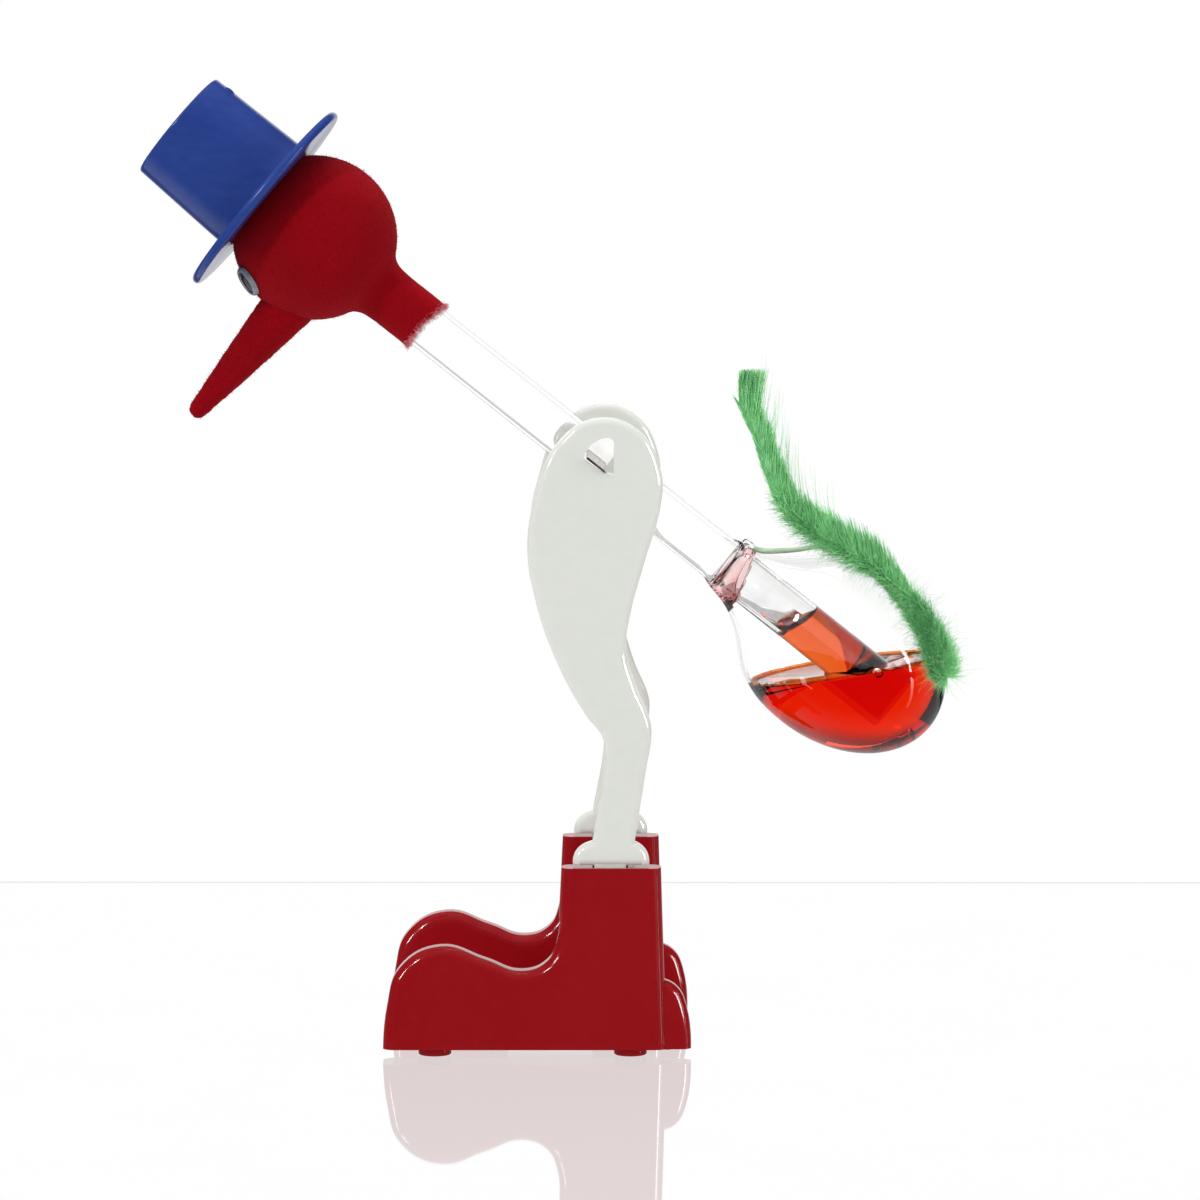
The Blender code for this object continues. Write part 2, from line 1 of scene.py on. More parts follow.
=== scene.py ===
"""Looks of a drinking bird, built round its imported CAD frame.

World frame: the bird faces -X and +Z is up. Lengths are in metres, and what is given in
millimetres passes through to_metres or is multiplied by MM.
"""

import json
import math
import random

import bmesh
import bpy
from mathutils import Matrix, Vector, noise

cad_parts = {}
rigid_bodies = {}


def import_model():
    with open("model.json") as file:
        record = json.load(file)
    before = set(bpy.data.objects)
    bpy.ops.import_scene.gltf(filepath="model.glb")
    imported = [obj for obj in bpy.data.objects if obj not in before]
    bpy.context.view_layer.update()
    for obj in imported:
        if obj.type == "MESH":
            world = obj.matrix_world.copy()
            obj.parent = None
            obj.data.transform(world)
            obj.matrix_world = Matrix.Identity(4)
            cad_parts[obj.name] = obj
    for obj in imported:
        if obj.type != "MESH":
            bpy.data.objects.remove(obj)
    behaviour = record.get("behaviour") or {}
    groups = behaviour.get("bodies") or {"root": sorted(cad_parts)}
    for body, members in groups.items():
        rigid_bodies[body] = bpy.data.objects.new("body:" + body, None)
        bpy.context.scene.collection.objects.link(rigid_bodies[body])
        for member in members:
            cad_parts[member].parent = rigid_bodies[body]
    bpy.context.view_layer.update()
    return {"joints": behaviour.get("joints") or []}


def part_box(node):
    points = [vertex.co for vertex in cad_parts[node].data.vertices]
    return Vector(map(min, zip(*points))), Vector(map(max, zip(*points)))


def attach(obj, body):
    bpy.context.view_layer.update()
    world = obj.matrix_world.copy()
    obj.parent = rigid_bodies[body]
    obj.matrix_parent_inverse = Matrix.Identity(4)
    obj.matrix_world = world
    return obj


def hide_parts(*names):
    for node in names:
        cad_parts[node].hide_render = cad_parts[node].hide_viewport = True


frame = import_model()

MM = 0.001
PIVOT = Vector(frame["joints"][0]["pos_m"])
LEAN = math.radians(51.5)
BIRD = Matrix.Translation(PIVOT) @ Matrix.Rotation(-LEAN, 4, "Y")
TUBE_X = -0.0006
HEAD_Z = 0.0587
LEG_Y = 0.018
SIDES = (("left", -1), ("right", 1))
draw = random.Random(7)


# ---------------------------------------------------------------- materials
def add_node(tree, kind, inputs=None, **settings):
    """Add a shader node; each input takes a value, or a link from another node's socket."""
    made = tree.nodes.new(kind)
    for setting, value in settings.items():
        setattr(made, setting, value)
    for socket, value in (inputs or {}).items():
        if isinstance(value, bpy.types.NodeSocket):
            tree.links.new(value, made.inputs[socket])
        else:
            made.inputs[socket].default_value = value
    return made


def surface(name, dark, light, cloud, grain, rough, bump, stretch=(1, 1, 1), **values):
    """A material whose colour, roughness and relief come from noise in the object's own space.

    cloud and grain are the scales of a wide and a fine noise, rough is the range of roughness,
    and bump holds the strength and the depth of the relief.
    """
    made = bpy.data.materials.new(name)
    made.use_nodes = True
    tree = made.node_tree
    place = add_node(tree, "ShaderNodeTexCoord")
    scaled = add_node(tree, "ShaderNodeMapping", {
        "Vector": place.outputs["Object"], "Scale": stretch})
    wide, fine = [
        add_node(tree, "ShaderNodeTexNoise", {
            "Vector": scaled.outputs["Vector"], "Scale": scale, "Detail": detail}).outputs["Fac"]
        for scale, detail in ((cloud, 3.0), (grain, 5.0))]
    both = add_node(tree, "ShaderNodeMath", {0: wide, 1: fine}, operation="ADD")
    half = add_node(tree, "ShaderNodeMath", {0: both.outputs[0], 1: 0.5}, operation="MULTIPLY")
    ramp = add_node(tree, "ShaderNodeValToRGB", {"Fac": half.outputs[0]})
    for stop, position, colour in zip(ramp.color_ramp.elements, (0.36, 0.64), (dark, light)):
        stop.position = position
        stop.color = (*colour, 1)
    spread = add_node(tree, "ShaderNodeMapRange", {
        "Value": wide, "From Min": 0.3, "From Max": 0.7, "To Min": rough[0], "To Max": rough[1]})
    relief = add_node(tree, "ShaderNodeBump", {
        "Height": fine, "Strength": bump[0], "Distance": bump[1]})
    shader = tree.nodes["Principled BSDF"]
    for socket, source in (
            ("Base Color", ramp.outputs["Color"]), ("Roughness", spread.outputs["Result"]),
            ("Normal", relief.outputs["Normal"])):
        tree.links.new(source, shader.inputs[socket])
    for socket, value in values.items():
        shader.inputs[socket.replace("_", " ")].default_value = value
    return made


def absorbing(made, colour, density):
    """Add an even absorption to the inside of a clear material."""
    tree = made.node_tree
    inside = add_node(tree, "ShaderNodeVolumeAbsorption", {
        "Color": (*colour, 1), "Density": density})
    tree.links.new(inside.outputs["Volume"], tree.nodes["Material Output"].inputs["Volume"])
    return made


def make_looks():
    """One material for each look; the liquids only absorb, because they lie inside the glass."""
    clear = {"Transmission_Weight": 1.0}
    return {
        "glass": surface(
            "blown_glass", (0.995, 1, 0.997), (1, 1, 1), 60, 150, (0.0, 0.006), (0.015, 0.0001),
            IOR=1.47, Specular_IOR_Level=0.25, **clear),
        "liquid": absorbing(surface(
            "dyed_liquid", (0.88, 0.22, 0.045), (0.91, 0.27, 0.065), 80, 200, (0.0, 0.004),
            (0.01, 0.0001), IOR=1.0, **clear), (0.985, 0.775, 0.60), 560.0),
        "trace": absorbing(surface(
            "trace_liquid", (1.0, 0.94, 0.93), (1.0, 0.97, 0.96), 300, 900, (0.0, 0.004),
            (0.01, 0.0001), IOR=1.0, **clear), (0.845, 0.433, 0.45), 900.0),
        "felt": surface(
            "flocked_felt", (0.205, 0.001, 0.004), (0.285, 0.0015, 0.007), 60, 3600, (0.85, 1.0),
            (0.5, 0.0001), Sheen_Weight=0.10, Sheen_Roughness=0.5,
            Sheen_Tint=(1.0, 0.12, 0.14, 1.0), Specular_IOR_Level=0.05),
        "hat": surface(
            "blue_moulding", (0.016, 0.043, 0.235), (0.021, 0.056, 0.28), 70, 900, (0.16, 0.26),
            (0.04, 0.00005), stretch=(0.35, 1, 1), Specular_IOR_Level=0.4),
        "boot": surface(
            "red_moulding", (0.275, 0.004, 0.007), (0.300, 0.005, 0.009), 35, 700, (0.09, 0.15),
            (0.04, 0.00005), stretch=(1, 1, 0.6), Specular_IOR_Level=0.32),
        # The legs' emission is painted light: a faint glow that lifts their shaded and hidden parts.
        "leg": surface(
            "milky_moulding", (0.60, 0.615, 0.575), (0.625, 0.64, 0.60), 30, 600, (0.06, 0.11),
            (0.03, 0.00005), Subsurface_Weight=0.25, Subsurface_Radius=(1.0, 1.0, 0.9),
            Subsurface_Scale=0.0015, Emission_Color=(0.93, 0.95, 0.88, 1.0), Emission_Strength=0.16),
        # The band's emission is painted reflection: a glow that makes the band look as if it mirrored
        # bright light.
        "metal": surface(
            "nickelled_sheet_painted_glow", (0.78, 0.77, 0.75), (0.92, 0.91, 0.89), 300, 2500, (0.12, 0.26),
            (0.08, 0.00003), stretch=(1, 0.15, 1), Metallic=0.2, Emission_Color=(1.0, 1.0, 1.0, 1.0),
            Emission_Strength=0.3),
        "blade": surface(
            "worn_edge", (0.30, 0.28, 0.27), (0.75, 0.72, 0.70), 700, 2500, (0.10, 0.30),
            (0.6, 0.0001), Metallic=1.0),
        # The fringe's pale pink is painted light: light shining through the thin felt at the sleeve's end.
        "fray": surface(
            "flock_painted_backlight", (0.50, 0.03, 0.05), (0.85, 0.35, 0.38), 300, 3600, (0.85, 1.0),
            (0.3, 0.0001), Specular_IOR_Level=0.1),
        "barb": surface(
            "dyed_down", (0.04, 0.42, 0.08), (0.36, 0.98, 0.38), 240, 2600, (0.6, 0.8),
            (0.1, 0.00003), stretch=(1, 1, 0.2), Sheen_Weight=0.2,
            Subsurface_Weight=0.35, Subsurface_Radius=(0.6, 1.0, 0.6), Subsurface_Scale=0.0006),
        "quill": surface(
            "pale_shaft", (0.36, 0.50, 0.33), (0.58, 0.70, 0.53), 200, 1500, (0.35, 0.5),
            (0.15, 0.00005), stretch=(0.3, 1, 1), Subsurface_Weight=0.3,
            Subsurface_Radius=(1.0, 1.0, 0.8), Subsurface_Scale=0.0006),
        "glue": surface(
            "cured_glue", (0.86, 0.90, 0.84), (0.97, 0.98, 0.96), 500, 1800, (0.05, 0.2),
            (0.2, 0.0001), Transmission_Weight=0.9, IOR=1.2),
        # The eye ring is white plastic; its grey-blue colour is painted shade.
        "eye": surface(
            "eye_white_painted_shade", (0.20, 0.22, 0.26), (0.32, 0.34, 0.40), 500, 2500, (0.08, 0.2),
            (0.1, 0.00003), Coat_Weight=0.5),
        "pupil": surface(
            "eye_black", (0.006, 0.005, 0.005), (0.03, 0.018, 0.014), 500, 2500, (0.05, 0.15),
            (0.1, 0.00003), Coat_Weight=0.5),
    }


# ---------------------------------------------------------------- mesh helpers
def as_object(shape, name, matrix=None, sharp=40.0):
    """Turn a bmesh into a smooth-shaded object whose vertices lie in the frame."""
    if matrix is not None:
        shape.transform(matrix)
    mesh = bpy.data.meshes.new(name)
    shape.to_mesh(mesh)
    shape.free()
    mesh.shade_smooth()
    mesh.set_sharp_from_angle(angle=math.radians(sharp))
    obj = bpy.data.objects.new(name, mesh)
    bpy.context.scene.collection.objects.link(obj)
    return obj


def finish_piece(obj, look, body, *nodes):
    """Give a piece its material and body, and hide the CAD nodes it stands for."""
    obj.data.materials.clear()
    obj.data.materials.append(looks[look])
    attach(obj, body)
    if nodes:
        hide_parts(*nodes)
    return obj


def apply_modifiers(obj):
    """Replace an object's mesh by its evaluated one."""
    bpy.context.view_layer.update()
    seen = obj.evaluated_get(bpy.context.evaluated_depsgraph_get())
    mesh = bpy.data.meshes.new_from_object(seen)
    old = obj.data
    obj.modifiers.clear()
    obj.data = mesh
    bpy.data.meshes.remove(old)
    return obj


def cut(obj, other, operation="DIFFERENCE", solver="MANIFOLD"):
    """Combine two meshes for good; the second one is used up."""
    step = obj.modifiers.new("cut", "BOOLEAN")
    step.operation = operation
    step.solver = solver
    step.object = other
    apply_modifiers(obj)
    bpy.data.objects.remove(other)
    return obj


def smooth_shading(obj, degrees=35.0):
    """Smooth normals that keep flat faces flat beside their rounded edges."""
    obj.data.shade_smooth()
    obj.data.set_sharp_from_angle(angle=math.radians(degrees))
    weighted = obj.modifiers.new("normals", "WEIGHTED_NORMAL")
    weighted.keep_sharp = True
    apply_modifiers(obj)


def revolve(shape, profile, steps=96, centre=TUBE_X):
    """Add a surface turned about the bird's tube; its outside runs downwards."""
    rings = []
    for radius, height in profile:
        if radius < 1e-6:
            rings.append([shape.verts.new((centre, 0, height))])
            continue
        angles = [2 * math.pi * step / steps for step in range(steps)]
        rings.append([
            shape.verts.new((centre + radius * math.cos(a), radius * math.sin(a), height))
            for a in angles
        ])
    for upper, lower in zip(rings, rings[1:]):
        for i in range(steps):
            j = (i + 1) % steps
            corners = [upper[i % len(upper)], lower[i % len(lower)]]
            corners += [lower[j % len(lower)], upper[j % len(upper)]]
            corners = list(dict.fromkeys(corners))
            if len(corners) > 2:
                shape.faces.new(corners)
    return rings


def spline_through(points, per=6):
    """Catmull-Rom curve through points of any dimension."""
    points = [Vector(p) for p in points]
    ends = [2 * points[0] - points[1]] + points + [2 * points[-1] - points[-2]]
    route = []
    for a, b, c, d in zip(ends, ends[1:], ends[2:], ends[3:]):
        for step in range(per):
            t = step / per
            route.append(0.5 * (
                2 * b + (c - a) * t + (2 * a - 5 * b + 4 * c - d) * t * t
                + (3 * b - a - 3 * c + d) * t ** 3
            ))
    route.append(points[-1])
    return route


def arc(centre_z, radius, start, end, count):
    """Points of a circle about the axis; the angle is measured down from the top."""
    angles = [start + (end - start) * step / count for step in range(count + 1)]
    return [(radius * math.sin(angle), centre_z + radius * math.cos(angle)) for angle in angles]


def skin(shape, rings):
    """Join each closed ring of vertices to the next one."""
    for near, far in zip(rings, rings[1:]):
        for i in range(len(near)):
            j = (i + 1) % len(near)
            shape.faces.new((near[i], near[j], far[j], far[i]))


def tube_along(shape, route, radii, sides=8):
    """Add a tube that follows a route and ends in caps."""
    rings = []
    side = Vector((0, 1, 0))
    for number, spot in enumerate(route):
        run = route[min(number + 1, len(route) - 1)] - route[max(number - 1, 0)]
        run.normalize()
        side = (side - run * side.dot(run)).normalized()
        other = run.cross(side)
        radius = radii[number]
        rings.append([
            shape.verts.new(spot + (side * math.cos(a) + other * math.sin(a)) * radius)
            for a in [2 * math.pi * step / sides for step in range(sides)]
        ])
    skin(shape, rings)
    shape.faces.new(rings[0][::-1])
    shape.faces.new(rings[-1])


def outline_points(outline, resolution=6):
    """Points of a closed Bezier outline given in millimetres, anticlockwise, in metres.

    An outline's point is smooth, unless SHARP follows its two coordinates.
    """
    curve = bpy.data.curves.new("outline", "CURVE")
    curve.dimensions = "2D"
    curve.fill_mode = "NONE"
    curve.resolution_u = resolution
    spline = curve.splines.new("BEZIER")
    spline.bezier_points.add(len(outline) - 1)
    spline.use_cyclic_u = True
    for knot, (x, z, *sharp) in zip(spline.bezier_points, outline):
        knot.co = (x * MM, z * MM, 0)
        kind = "VECTOR" if sharp else "AUTO"
        knot.handle_left_type = kind
        knot.handle_right_type = kind
    guide = bpy.data.objects.new("outline", curve)
    bpy.context.scene.collection.objects.link(guide)
    bpy.context.view_layer.update()
    seen = guide.evaluated_get(bpy.context.evaluated_depsgraph_get())
    mesh = bpy.data.meshes.new_from_object(seen)
    bpy.data.objects.remove(guide)
    bpy.data.curves.remove(curve)
    after = {}
    for edge in mesh.edges:
        i, j = edge.vertices
        after.setdefault(i, []).append(j)
        after.setdefault(j, []).append(i)
    order, last = [0], None
    while True:
        following = [j for j in after[order[-1]] if j != last]
        last = order[-1]
        if not following or following[0] == 0:
            break
        order.append(following[0])
    points = [Vector(mesh.vertices[i].co[:2]) for i in order]
    bpy.data.meshes.remove(mesh)
    kept = [p for p, q in zip(points, points[1:] + points[:1]) if (p - q).length > 0.00002]
    area = sum(p.x * q.y - q.x * p.y for p, q in zip(kept, kept[1:] + kept[:1]))
    return kept if area > 0 else kept[::-1]


def inset(points, distance):
    """Move a closed anticlockwise outline inwards."""
    moved = []
    for before, here, after in zip(points[-1:] + points[:-1], points, points[1:] + points[:1]):
        first, second = (here - before).normalized(), (after - here).normalized()
        left, right = Vector((-first.y, first.x)), Vector((-second.y, second.x))
        middle = (left + right).normalized()
        moved.append(here + middle * distance / max(0.4, middle.dot(left)))
    return moved


def plate(name, outline, half, fillet, segments, shift, resolution=6):
    """A flat moulding with rounded edges; half is a function from height to half thickness."""
    points = outline_points(outline, resolution)
    turns = [(0, 0)]
    if fillet:
        angles = [math.pi / 2 * step / segments for step in range(segments + 1)]
        turns = [(fillet * (1 - math.cos(a)), fillet * (1 - math.sin(a))) for a in angles]
    shape = bmesh.new()
    sides = []
    for way in (-1, 1):
        rings = []
        for sunk, inwards in turns:
            ring = inset(points, inwards) if inwards else points
            rings.append([
                shape.verts.new((p.x, way * (half(p.y) - sunk), p.y)) for p in ring])
        sides.append(rings)
    near, far = sides
    whole = near + far[::-1]
    skin(shape, whole)
    shape.faces.new(whole[0][::-1])
    shape.faces.new(whole[-1])
    bmesh.ops.recalc_face_normals(shape, faces=shape.faces)
    return as_object(shape, name, Matrix.Translation(shift))


def block(name, size, centre, fillet=0.0, segments=3):
    """A box with rounded edges."""
    shape = bmesh.new()
    bmesh.ops.create_cube(shape, size=1.0, matrix=Matrix.Diagonal((*size, 1.0)))
    if fillet:
        bmesh.ops.bevel(
            shape, geom=list(shape.edges), offset=fillet, segments=segments, profile=0.5,
            affect="EDGES")
    return as_object(shape, name, Matrix.Translation(centre))


def puck(name, radius, low, high, centre, fillet=0.0, steps=64):
    """An upright disc with rounded edges."""
    profile = [(0.0, high)]
    if fillet:
        turn = [math.pi / 2 * step / 4 for step in range(5)]
        profile += [(radius - fillet + fillet * math.sin(a), high - fillet + fillet * math.cos(a))
                    for a in turn]
        profile += [(radius - fillet + fillet * math.cos(a), low + fillet - fillet * math.sin(a))
                    for a in turn]
    else:
        profile += [(radius, high), (radius, low)]
    profile.append((0.0, low))
    shape = bmesh.new()
    revolve(shape, profile, steps, centre=0.0)
    return as_object(shape, name, Matrix.Translation(centre))


def ball(name, radius, centre, segments):
    """A plain sphere, used to hollow out a bubble."""
    shape = bmesh.new()
    bmesh.ops.create_uvsphere(shape, u_segments=segments, v_segments=segments // 2, radius=radius)
    return as_object(shape, name, Matrix.Translation(centre))


# ---------------------------------------------------------------- glass and liquid
# Millimetres, with heights measured from the pivot; FILM and POOL_POINT are in metres
SHOULDER = ((4.45, -25.1), (5.2, -28.4), (6.5, -31.2), (8.7, -34.0), (11.7, -37.3), (13.4, -41.0))
WIDEST_Z, BULB_RADIUS, BULB_DEPTH, BULB_WALL = -47.6, 14.3, 19.3, 0.6
HEAD_GLASS_RADIUS, HEAD_BORE_RADIUS = 12.2, 10.9
TUBE_RADIUS, BORE = 3.8, 3.05
DIP_END, COLUMN_END = -57.5, -58.4
NECK_FLOOR = -25.6
TRACE_TOP, TRACE_BASE, TRACE_SLANT, TRACE_HOLLOW = -25.9, -28.95, 1.35, 0.45
FILM = 0.00002
POOL_TILT = math.radians(8.7)
POOL_POINT = Vector((0.0377, 0, -0.0325))
LEVEL = Matrix.Rotation(-POOL_TILT, 3, "Y") @ Vector((0, 0, 1))
POOL_CEILING = -29.0
DISC_Z = -40.25
MENISCUS_Z, MENISCUS_SLOPE, MENISCUS_RISE = -40.45, 0.443, 1.15
BUBBLES = (((-2.7, -0.7, -38.3), 1.08), ((1.3, -10.0, -53.7), 0.72))
ROUND_STEPS = 128


def bulb_outline(inwards):
    """Outside of the lower bulb in millimetres, moved inwards."""
    knots = ((3.86, -23.4), *SHOULDER, (14.1, -44.3), (BULB_RADIUS, WIDEST_Z))
    upper = [tuple(p) for p in spline_through(knots, 5)]
    angles = [math.pi / 2 * step / 22 for step in range(1, 23)]
    whole = upper + [
        (BULB_RADIUS * math.cos(a), WIDEST_Z - BULB_DEPTH * math.sin(a)) for a in angles
    ]
    moved = []
    for number, (radius, height) in enumerate(whole):
        before, after = whole[max(number - 1, 0)], whole[min(number + 1, len(whole) - 1)]
        run = Vector((after[0] - before[0], after[1] - before[1])).normalized()
        moved.append((max(radius + run.y * inwards, 0.0), height - run.x * inwards))
    moved[-1] = (0.0, WIDEST_Z - BULB_DEPTH + inwards)
    return moved


def to_metres(points):
    """Radius and height pairs, from millimetres."""
    return [(radius * MM, height * MM) for radius, height in points]


def turned(name, profile, steps=ROUND_STEPS):
    """A closed solid turned about the tube, from points in millimetres."""
    shape = bmesh.new()
    revolve(shape, to_metres(profile), steps)
    return as_object(shape, name, BIRD, 60)


def bubble(number, grow=0.0):
    """A ball the size of one of the bubbles; the first one clings to the tube's wall."""
    (x, y, z), radius = BUBBLES[number]
    return ball("bubble", radius * MM + grow, BIRD @ (Vector((x, y, z)) * MM), 40)


def pool_body(grow, sink):
    """The space below the liquid's surface in the lower bulb."""
    shape = bmesh.new()
    edge = [point for point in bulb_outline(BULB_WALL - grow) if point[1] < POOL_CEILING]
    revolve(shape, to_metres([(0.0, edge[0][1])] + edge), ROUND_STEPS)
    shape.transform(BIRD)
    everything = list(shape.verts) + list(shape.edges) + list(shape.faces)
    found = bmesh.ops.bisect_plane(
        shape, geom=everything, plane_co=PIVOT + POOL_POINT - LEVEL * sink, plane_no=LEVEL,
        clear_outer=True)
    rim = [part for part in found["geom_cut"] if isinstance(part, bmesh.types.BMEdge)]
    top = bmesh.ops.contextual_create(shape, geom=rim)["faces"]
    bmesh.ops.recalc_face_normals(shape, faces=shape.faces)
    for thick, depth in ((0.00025, -0.0003), (0.0004, -0.00016), (0.0006, -0.00008)):
        bmesh.ops.inset_region(shape, faces=top, thickness=thick, depth=depth)
    return as_object(shape, "pool", None, 50)


def surface_height(x, y, radius):
    """Height of the slanted, hollow surface in the tube, in millimetres."""
    return MENISCUS_Z - MENISCUS_SLOPE * x + MENISCUS_RISE * (math.hypot(x, y) / radius) ** 3


def bore_disc(radius, sink):
    """Rings of points across the tube at the liquid's surface."""
    shares = (0, 0.2, 0.4, 0.6, 0.75, 0.87, 0.95, 1.0)
    return [(radius * share, DISC_Z - sink) for share in shares]


def shape_surface(shape, radius, sink):
    """Give the points of bore_disc the heights of the liquid's surface."""
    for vertex in shape.verts:
        if abs(vertex.co.z / MM - DISC_Z + sink) < 0.001:
            x, y = (vertex.co.x - TUBE_X) / MM, vertex.co.y / MM
            vertex.co.z = (surface_height(x, y, radius) - sink) * MM


def neck_ring(grow, lift):
    """The space between dip tube and neck that holds liquid; it reaches further down in front."""
    wall = bulb_outline(BULB_WALL)

    def wall_radius(height):
        for (r0, z0), (r1, z1) in zip(wall, wall[1:]):
            if z1 <= height <= z0:
                return r0 + (r1 - r0) * (z0 - height) / (z0 - z1)
        return wall[0][0]

    shape = bmesh.new()
    loops = []
    for step in range(96):
        angle = 2 * math.pi * step / 96
        base = TRACE_BASE + TRACE_SLANT * math.cos(angle) + lift
        top = TRACE_TOP - 0.5 * grow
        outside = [(wall_radius(z) + grow, z) for z in
                   [top + (base - top) * part / 10 for part in range(11)]]
        outer, inner = outside[-1][0], TUBE_RADIUS - grow
        below = [(outer + (inner - outer) * part / 6,
                  base + TRACE_HOLLOW * math.sin(math.pi * part / 6)) for part in range(1, 6)]
        inside = [(inner, base + (top - base) * part / 4) for part in range(5)]
        loops.append([
            shape.verts.new(((TUBE_X / MM + r * math.cos(angle)) * MM, r * math.sin(angle) * MM, z * MM))
            for r, z in outside + below + inside])
    skin(shape, loops + loops[:1])
    bmesh.ops.recalc_face_normals(shape, faces=shape.faces)
    return as_object(shape, "neck_liquid", BIRD, 50)


def glass_vessel():
    """Head bulb, tube and lower bulb sealed together; its hollows are where there is no liquid."""
    join = math.pi - math.asin(TUBE_RADIUS / HEAD_GLASS_RADIUS)
    outer = arc(HEAD_Z / MM, HEAD_GLASS_RADIUS, 0, join, 24)
    outer += [(TUBE_RADIUS, z) for z in (40.0, 20.0, 0.0, -12.0, -21.0)] + [(3.82, -22.6)]
    outer += bulb_outline(0.0)
    shell = turned("glass_vessel", outer)
    wall = [p for p in bulb_outline(BULB_WALL) if p[1] < NECK_FLOOR - 0.1]
    space = turned("space", [(0.0, NECK_FLOOR), (4.0, NECK_FLOOR)] + wall)
    cut(space, turned("dip", [(0, -20), (TUBE_RADIUS, -20), (TUBE_RADIUS, -70), (0, -70)]))
    cut(space, neck_ring(0.3, 0.0))
    cut(space, pool_body(0.25, 0.0))
    start = math.pi - math.asin(BORE / HEAD_BORE_RADIUS)
    bore = arc(HEAD_Z / MM, HEAD_BORE_RADIUS, 0, start, 24)
    bore += [(BORE, z) for z in (40.0, 20.0, 0.0, -12.0)]
    seal = [(3.05, -21.4), (3.07, -22.2), (3.2, -23.2), (3.42, -24.2), (3.5, -24.8), (3.3, -25.3),
            (2.86, -25.8), (2.72, -26.3), (2.94, -26.9), (3.05, -27.4), (3.05, -28.4)]
    bore += [tuple(p) for p in spline_through(seal, 4)]
    bore += bore_disc(BORE, 0.0)[::-1]
    shape = bmesh.new()
    revolve(shape, to_metres(bore), ROUND_STEPS)
    shape_surface(shape, BORE, 0.0)
    core = as_object(shape, "bore", BIRD)
    cut(core, bubble(0), "UNION")
    joined = bmesh.new()
    joined.from_mesh(shell.data)
    for hollow in (space, core, bubble(1)):
        part = bmesh.new()
        part.from_mesh(hollow.data)
        bmesh.ops.reverse_faces(part, faces=part.faces)
        part.to_mesh(hollow.data)
        part.free()
        joined.from_mesh(hollow.data)
        bpy.data.objects.remove(hollow)
    bpy.data.objects.remove(shell)
    obj = as_object(joined, "glass_vessel", None, 50)
    finish_piece(obj, "glass", "bird", "glass_tube", "lower_bulb")


def liquid():
    """The pool in the lower bulb and the column standing in the tube, in one body of liquid."""
    pool = pool_body(0.0, FILM)
    cut(pool, turned("well", [(0, -25), (TUBE_RADIUS, -25), (TUBE_RADIUS, DIP_END), (0, DIP_END)]))
    shape = bmesh.new()
    sink = FILM / MM
    profile = bore_disc(BORE, sink) + [(BORE, -45), (BORE, -50), (BORE, COLUMN_END), (0, COLUMN_END)]
    revolve(shape, to_metres(profile), 96)
    shape_surface(shape, BORE, sink)
    column = as_object(shape, "column", BIRD)
    cut(column, bubble(0, FILM))
    cut(pool, column, "UNION")
    cut(pool, bubble(1, FILM))
    pool.name = "dyed_liquid"
    smooth_shading(pool, 50)
    finish_piece(pool, "liquid", "bird", "liquid_pool", "liquid_column")
    finish_piece(neck_ring(0.0, FILM / MM), "trace", "bird")


# ---------------------------------------------------------------- head
FELT_RADIUS, FELT_INSIDE = 0.01306, 0.01256
SLEEVE_RADIUS, SLEEVE_BORE, SLEEVE_END = 0.0045, 0.00405, 0.0368
SLEEVE_SLANT = 0.0009
BEAK_TURN = Matrix.Rotation(-math.pi / 2 + math.radians(2.7), 3, "Y")
BEAK_ROOT = Vector((TUBE_X, 0, HEAD_Z - 0.0039))
BEAK_WIDTHS = ((0.0, 34.5), (0.6, 34.4), (1.1, 34.0), (1.42, 33.3), (1.6, 32.2), (1.86, 30.0),
               (2.5, 25.5), (3.1, 20.5), (3.62, 16.1), (3.98, 13.0), (4.2, 11.0), (4.3, 8.5))
FIBRES = 5200
EYE_WAY = Vector((-11.7, 4.3, 3.9))


def roughen(obj, size, amount):
    """Push each vertex out or in by noise, for a napped surface."""
    normals = [v.normal.copy() for v in obj.data.vertices]
    for vertex, normal in zip(obj.data.vertices, normals):
        value = noise.noise(vertex.co / size) + 0.5 * noise.noise(vertex.co / (size * 0.4))
        vertex.co += normal * value * amount


def felt_head():
    """Flocked skin of the head with its sleeve down the neck."""
    outer = arc(HEAD_Z, FELT_RADIUS, 0, math.radians(152.5), 64)
    join_r, join_z = outer[-1]
    bend = [(join_r, join_z), (0.00530, HEAD_Z - 0.01225), (0.00478, HEAD_Z - 0.01335),
            (0.00456, HEAD_Z - 0.0150), (SLEEVE_RADIUS, HEAD_Z - 0.0170)]
    outer += [tuple(p) for p in spline_through(bend, 5)][1:]
    last = outer[-1][1]
    outer += [(SLEEVE_RADIUS, last + (SLEEVE_END - last) * step / 14) for step in range(1, 15)]
    inner_end = math.pi - math.asin(0.0057 / FELT_INSIDE)
    inner = [(SLEEVE_BORE, SLEEVE_END + 0.0001), (SLEEVE_BORE, 0.0400), (SLEEVE_BORE, 0.0435),
             (0.0046, HEAD_Z - 0.0135)]
    inner += arc(HEAD_Z, FELT_INSIDE, inner_end, 0, 24)
    inner[-1] = (0.0, inner[-1][1])
    shape = bmesh.new()
    revolve(shape, outer + inner, 160)
    for vertex in shape.verts:
        near_end = 1.0 - min(1.0, max(0.0, (vertex.co.z - SLEEVE_END) / 0.004))
        angle = math.atan2(vertex.co.y, vertex.co.x - TUBE_X)
        ragged = noise.noise(Vector((math.cos(angle), math.sin(angle), 0.3)) * 5.0)
        near_side = 0.5 * (1.0 - math.sin(angle))
        slant = SLEEVE_SLANT * max(math.cos(angle), 0)
        vertex.co.z += near_end * (0.00020 * near_side + 0.00022 * ragged - slant)
    obj = as_object(shape, "felt_skin", BIRD, 60)
    roughen(obj, 0.0007, 0.00005)
    finish_piece(obj, "felt", "bird", "head_felt")


